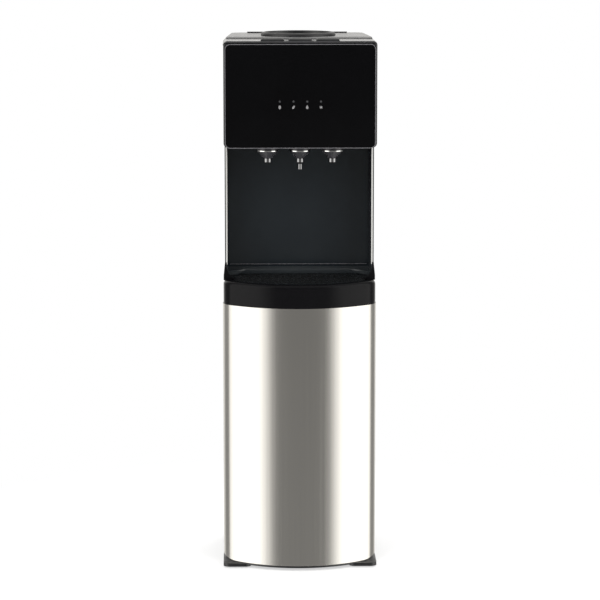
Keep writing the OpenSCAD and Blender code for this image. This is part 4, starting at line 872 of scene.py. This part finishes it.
def makeRearStrip(settings):
    high = nodeBox("rear_deck")[1]
    depth, height = settings["depth"], settings["height"]
    shape = bmesh.new()
    bmesh.ops.create_cube(shape, size=1)
    bmesh.ops.scale(shape, verts=shape.verts, vec=(2 * settings["half"], depth, height))
    bmesh.ops.translate(shape, verts=shape.verts, vec=(
        0, high[1] - settings["inset"] - depth / 2, high[2] + height / 2))
    upright = [edge for edge in shape.edges
               if abs(edge.verts[0].co.z - edge.verts[1].co.z) > height / 2]
    roundEdges(shape, upright, settings["end"], settings["endSteps"])
    crest = [edge for edge in shape.edges
             if min(vert.co.z for vert in edge.verts) > high[2] + height / 2]
    roundEdges(shape, crest, settings["edge"], settings["edgeSteps"])
    bmesh.ops.recalc_face_normals(shape, faces=shape.faces)
    addPiece("rearStrip", shape, "blackPlastic", "cabinet")


makeRearStrip(rearStrip)
print("deck lid ready")


# Flared shrouds round the valve housings, each with a bright ring under the alcove's roof, and
# chrome sleeves on the tips of the spouts, with a thin one on the inner spout of the middle tap.
# Heights count from the spouts' tips. The shroud's rim, bend and lip are offsets in mm from its
# upper edge, its shoulder and its foot.
tapTrim = {
    "sleeveRadius": 7.2 * mm, "sleeveBore": 6.9 * mm, "sleeveLow": 1.4 * mm,
    "sleeveHigh": 8.6 * mm, "edge": 0.15 * mm, "thinRadius": 3.9 * mm, "thinBore": 2.6 * mm,
    "thinLength": 10.5 * mm, "shroudRadius": 20.6 * mm, "shroudFootRadius": 8.9 * mm,
    "shroudTop": 31.6 * mm, "shroudShoulder": 21.6 * mm, "shroudFoot": 9.4 * mm,
    "rim": ((-1.4, 0), (-0.4, -0.3), (-0.2, -1.4)), "bend": ((-0.2, 0.8), (-0.9, -0.2)),
    "lip": ((0, 0), (-0.3, 0.3)), "ringRadius": 21.2 * mm, "ringBore": 20.2 * mm,
    "ringLow": 23 * mm, "ringHeight": 2 * mm, "steps": 64,
}


# Turns a profile of radii and heights into a ring round an upright line
def spinRing(shape, centre, profile, steps):
    x, y = centre
    edges = closedLine(shape, [(x + radius, y, z) for radius, z in profile])
    verts = [edge.verts[1] for edge in edges]
    bmesh.ops.spin(shape, geom=verts + edges, cent=(x, y, 0), axis=(0, 0, 1), angle=2 * pi,
                   steps=steps, use_merge=True)
    bmesh.ops.remove_doubles(shape, verts=shape.verts, dist=meshLimits["seam"])
    bmesh.ops.recalc_face_normals(shape, faces=shape.faces)


def sleeveProfile(radius, bore, low, high, edge):
    return [(bore, low), (radius - edge, low), (radius, low + edge), (radius, high - edge),
            (radius - edge, high), (bore, high)]


def shroudProfile(settings, tipZ):
    profile = []
    for radius, height, offsets in (
            ("shroudRadius", "shroudTop", "rim"), ("shroudRadius", "shroudShoulder", "bend"),
            ("shroudFootRadius", "shroudFoot", "lip")):
        profile += [(settings[radius] + across * mm, tipZ + settings[height] + up * mm)
                    for across, up in settings[offsets]]
    return profile


def makeTapTrim(settings):
    tipZ, tapY = nodeBox("hot_tap")[0][2], middleOf(nodeBox("hot_rod"), 1)
    edge, steps = settings["edge"], settings["steps"]
    sleeve = sleeveProfile(settings["sleeveRadius"], settings["sleeveBore"],
                           tipZ + settings["sleeveLow"], tipZ + settings["sleeveHigh"], edge)
    shroud = shroudProfile(settings, tipZ)
    ringZ = tipZ + settings["ringLow"]
    ring = sleeveProfile(settings["ringRadius"], settings["ringBore"], ringZ,
                         ringZ + settings["ringHeight"], edge)
    sleeves, shrouds, rings = bmesh.new(), bmesh.new(), bmesh.new()
    for tap in ("hot_tap", "ambient_tap", "cold_tap"):
        centre = (middleOf(nodeBox(tap), 0), tapY)
        spinRing(sleeves, centre, sleeve, steps)
        spinRing(shrouds, centre, shroud, steps)
        spinRing(rings, centre, ring, steps)
    thinLow = nodeBox("ambient_tap")[0][2] + edge
    thin = sleeveProfile(settings["thinRadius"], settings["thinBore"], thinLow,
                         thinLow + settings["thinLength"], edge)
    spinRing(sleeves, (0, tapY), thin, steps)
    addPiece("spoutSleeves", sleeves, "tipChrome", "cabinet")
    addPiece("tapShrouds", shrouds, "shroudPlastic", "cabinet")
    addPiece("tapRings", rings, "chrome", "cabinet")


makeTapTrim(tapTrim)


# Bright beads down the front edges of the alcove cheeks
cheekBead = {"inner": 143 * mm, "outer": 145.9 * mm, "proud": 1.1 * mm, "gap": 0.05 * mm,
             "end": 0.6 * mm, "foot": 604 * mm, "steps": 14}


def makeCheekBeads(settings):
    front = nodeBox("alcove_liner")[0][1] + settings["gap"]
    bottom = settings["foot"]
    top = nodeBox("hood_frame")[0][2] - settings["end"]
    middle = (settings["inner"] + settings["outer"]) / 2
    half = (settings["outer"] - settings["inner"]) / 2
    shape = bmesh.new()
    for side in (-1, 1):
        turns = [pi * i / settings["steps"] for i in range(settings["steps"] + 1)]
        arc = [(side * middle - half * cos(turn), front - settings["proud"] * sin(turn), bottom)
               for turn in turns]
        extrudeOutline(shape, arc, (0, 0, top - bottom))
    bmesh.ops.recalc_face_normals(shape, faces=shape.faces)
    addPiece("cheekBeads", shape, "chrome", "cabinet")


makeCheekBeads(cheekBead)


# Rounds the edges of a shape that lie in front of a plane
def roundFront(shape, y, width, segments):
    bmesh.ops.recalc_face_normals(shape, faces=shape.faces)
    front = [edge for edge in shape.edges if max(vert.co.y for vert in edge.verts) < y]
    roundEdges(shape, front, width, segments)


# Hollow fillets where the cheeks meet the shelf
footFillet = {
    "inner": 124 * mm, "outer": 150.9 * mm, "cheek": 148.2 * mm, "thin": 2 * mm,
    "foot": 572.5 * mm, "low": 575.4 * mm, "high": 608 * mm, "shoulder": 0.2, "steps": 12,
    "front": -77.5 * mm, "back": -70 * mm, "edge": 1.1 * mm, "edgeSteps": 4,
}


def makeFootFillets(settings):
    shape = bmesh.new()
    low, high, cheek = settings["low"], settings["high"], settings["cheek"]
    inner, outer, foot = settings["inner"], settings["outer"], settings["foot"]
    reach = cheek - settings["thin"] - inner
    turns = [pi / 2 * i / settings["steps"] for i in range(settings["steps"] + 1)]
    curve = [(inner + reach * sin(turn), high - (high - low) * cos(turn)) for turn in turns]
    curve += [(cheek, high), (outer, low + (high - low) * settings["shoulder"]), (outer, foot),
              (inner, foot)]
    for side in (-1, 1):
        extrudeOutline(shape, [(side * x, settings["front"], z) for x, z in curve],
                       (0, settings["back"] - settings["front"], 0))
    roundFront(shape, settings["front"] + settings["edge"] / 2, settings["edge"],
               settings["edgeSteps"])
    addPiece("footFillets", shape, "bandBlack", "cabinet")


makeFootFillets(footFillet)


# A lighter grey strip over the cove of the alcove, a painted highlight for the shine along the
# cove's edge
paintedCoveHighlight = {"half": 138 * mm, "rise": 4 * mm, "height": 1.5 * mm, "proud": 0.9 * mm,
            "edge": 0.54 * mm, "edgeSteps": 3}


def makePaintedCoveHighlight(settings):
    low = nodeBox("alcove_back_panel")[0]
    shape = bmesh.new()
    half, proud, foot = settings["half"], settings["proud"], low[2] + settings["rise"]
    outline = [(-half, foot), (half, foot), (half, foot + settings["height"]),
               (-half, foot + settings["height"])]
    extrudeOutline(shape, [(x, low[1] - proud, z) for x, z in outline], (0, proud * 2, 0))
    roundFront(shape, low[1] - proud / 2, settings["edge"], settings["edgeSteps"])
    addPiece("paintedCoveHighlight", shape, "paintedHighlightGrey", "cabinet")


makePaintedCoveHighlight(paintedCoveHighlight)
print("tap trim and cheek beads ready")


# Thin rim round the black plate of the hood, in a lighter grey that paints the highlight on the
# plate's bevelled edge
plateRim = {"gap": 0.15 * mm, "width": 1.3 * mm, "proud": 0.35 * mm, "depth": 1.2 * mm,
            "corner": 9 * mm, "steps": 8}


def rimOutline(box, grow, settings):
    left, bottom, right, top = (slimmed(box[0][0]) - grow, box[0][2] - grow,
                                slimmed(box[1][0]) + grow, box[1][2] + grow)
    radius = settings["corner"] + grow
    return roundOutline(((right, top, radius, 0), (left, top, radius, 90),
                         (left, bottom, radius, 180), (right, bottom, radius, 270)),
                        settings["steps"])


def makeRim(settings):
    box = nodeBox("fascia_plate")
    front = box[0][1] - settings["proud"]
    back = front + settings["depth"]
    inner = rimOutline(box, settings["gap"], settings)
    outer = rimOutline(box, settings["gap"] + settings["width"], settings)
    shape = bmesh.new()
    loops = [closedLine(shape, [(x, y, z) for x, z in outline])
             for outline, y in ((inner, back), (inner, front), (outer, front), (outer, back))]
    for near, far in zip(loops, loops[1:] + loops[:1]):
        bmesh.ops.bridge_loops(shape, edges=near + far)
    bmesh.ops.recalc_face_normals(shape, faces=shape.faces)
    addPiece("plateRim", shape, "paintedHighlightGrey", "cabinet")


makeRim(plateRim)
print("plate rim ready")


# Four small generic signs under the indicator lamps. A sign is an oval in shares of its size:
# half its width and height, and how far it is pinched at its top, leans, twists or is lifted.
# The snowflake is a star, with the reach of its tips and its notches.
signs = {
    "order": ("flame", "leaf", "drop", "snowflake"),
    "flame": {"wide": 0.6, "tall": 0.9, "pinch": 0.4, "twist": 0.16},
    "leaf": {"wide": 0.5, "tall": 0.8, "lean": 0.35},
    "drop": {"wide": 0.55, "tall": 0.85, "pinch": 0.45, "lift": 0.1},
    "snowflake": {"points": 6, "tip": 0.95, "notch": 0.36},
    "below": 11.2 * mm, "size": 4.2 * mm, "thick": 0.06 * mm, "steps": 20,
}


def ovalOutline(form, steps):
    pinch, lean, twist, lift = (form.get(key, 0) for key in ("pinch", "lean", "twist", "lift"))
    points = []
    for i in range(steps):
        turn = 2 * pi * i / steps
        across = form["wide"] * sin(turn) * (1 - pinch * cos(turn))
        points.append((across + lean * cos(turn) + twist * sin(2 * turn),
                       form["tall"] * cos(turn) + lift))
    return points


def starOutline(form):
    points = []
    for i in range(2 * form["points"]):
        turn = pi * i / form["points"]
        reach = form["notch"] if i % 2 else form["tip"]
        points.append((reach * sin(turn), reach * cos(turn)))
    return points


def makeSigns(settings):
    front = nodeBox("fascia_plate")[0][1]
    lampBox = nodeBox("indicator_lenses")
    outermost = lampBox[1][0] - (lampBox[1][2] - lampBox[0][2]) / 2
    z = middleOf(lampBox, 2) - settings["below"]
    size, order = settings["size"], settings["order"]
    shape = bmesh.new()
    for i, kind in enumerate(order):
        form = settings[kind]
        outline = starOutline(form) if "points" in form else ovalOutline(form, settings["steps"])
        x = outermost * (2 * i / (len(order) - 1) - 1)
        extrudeOutline(shape, [(x + size * across, front, z + size * up)
                               for across, up in outline], (0, -settings["thick"], 0))
    bmesh.ops.triangulate(shape, faces=[f for f in shape.faces if len(f.verts) > 4])
    bmesh.ops.recalc_face_normals(shape, faces=shape.faces)
    addPiece("lampSigns", shape, "printGrey", "cabinet", weighted=False)


makeSigns(signs)
print("lamp signs ready")
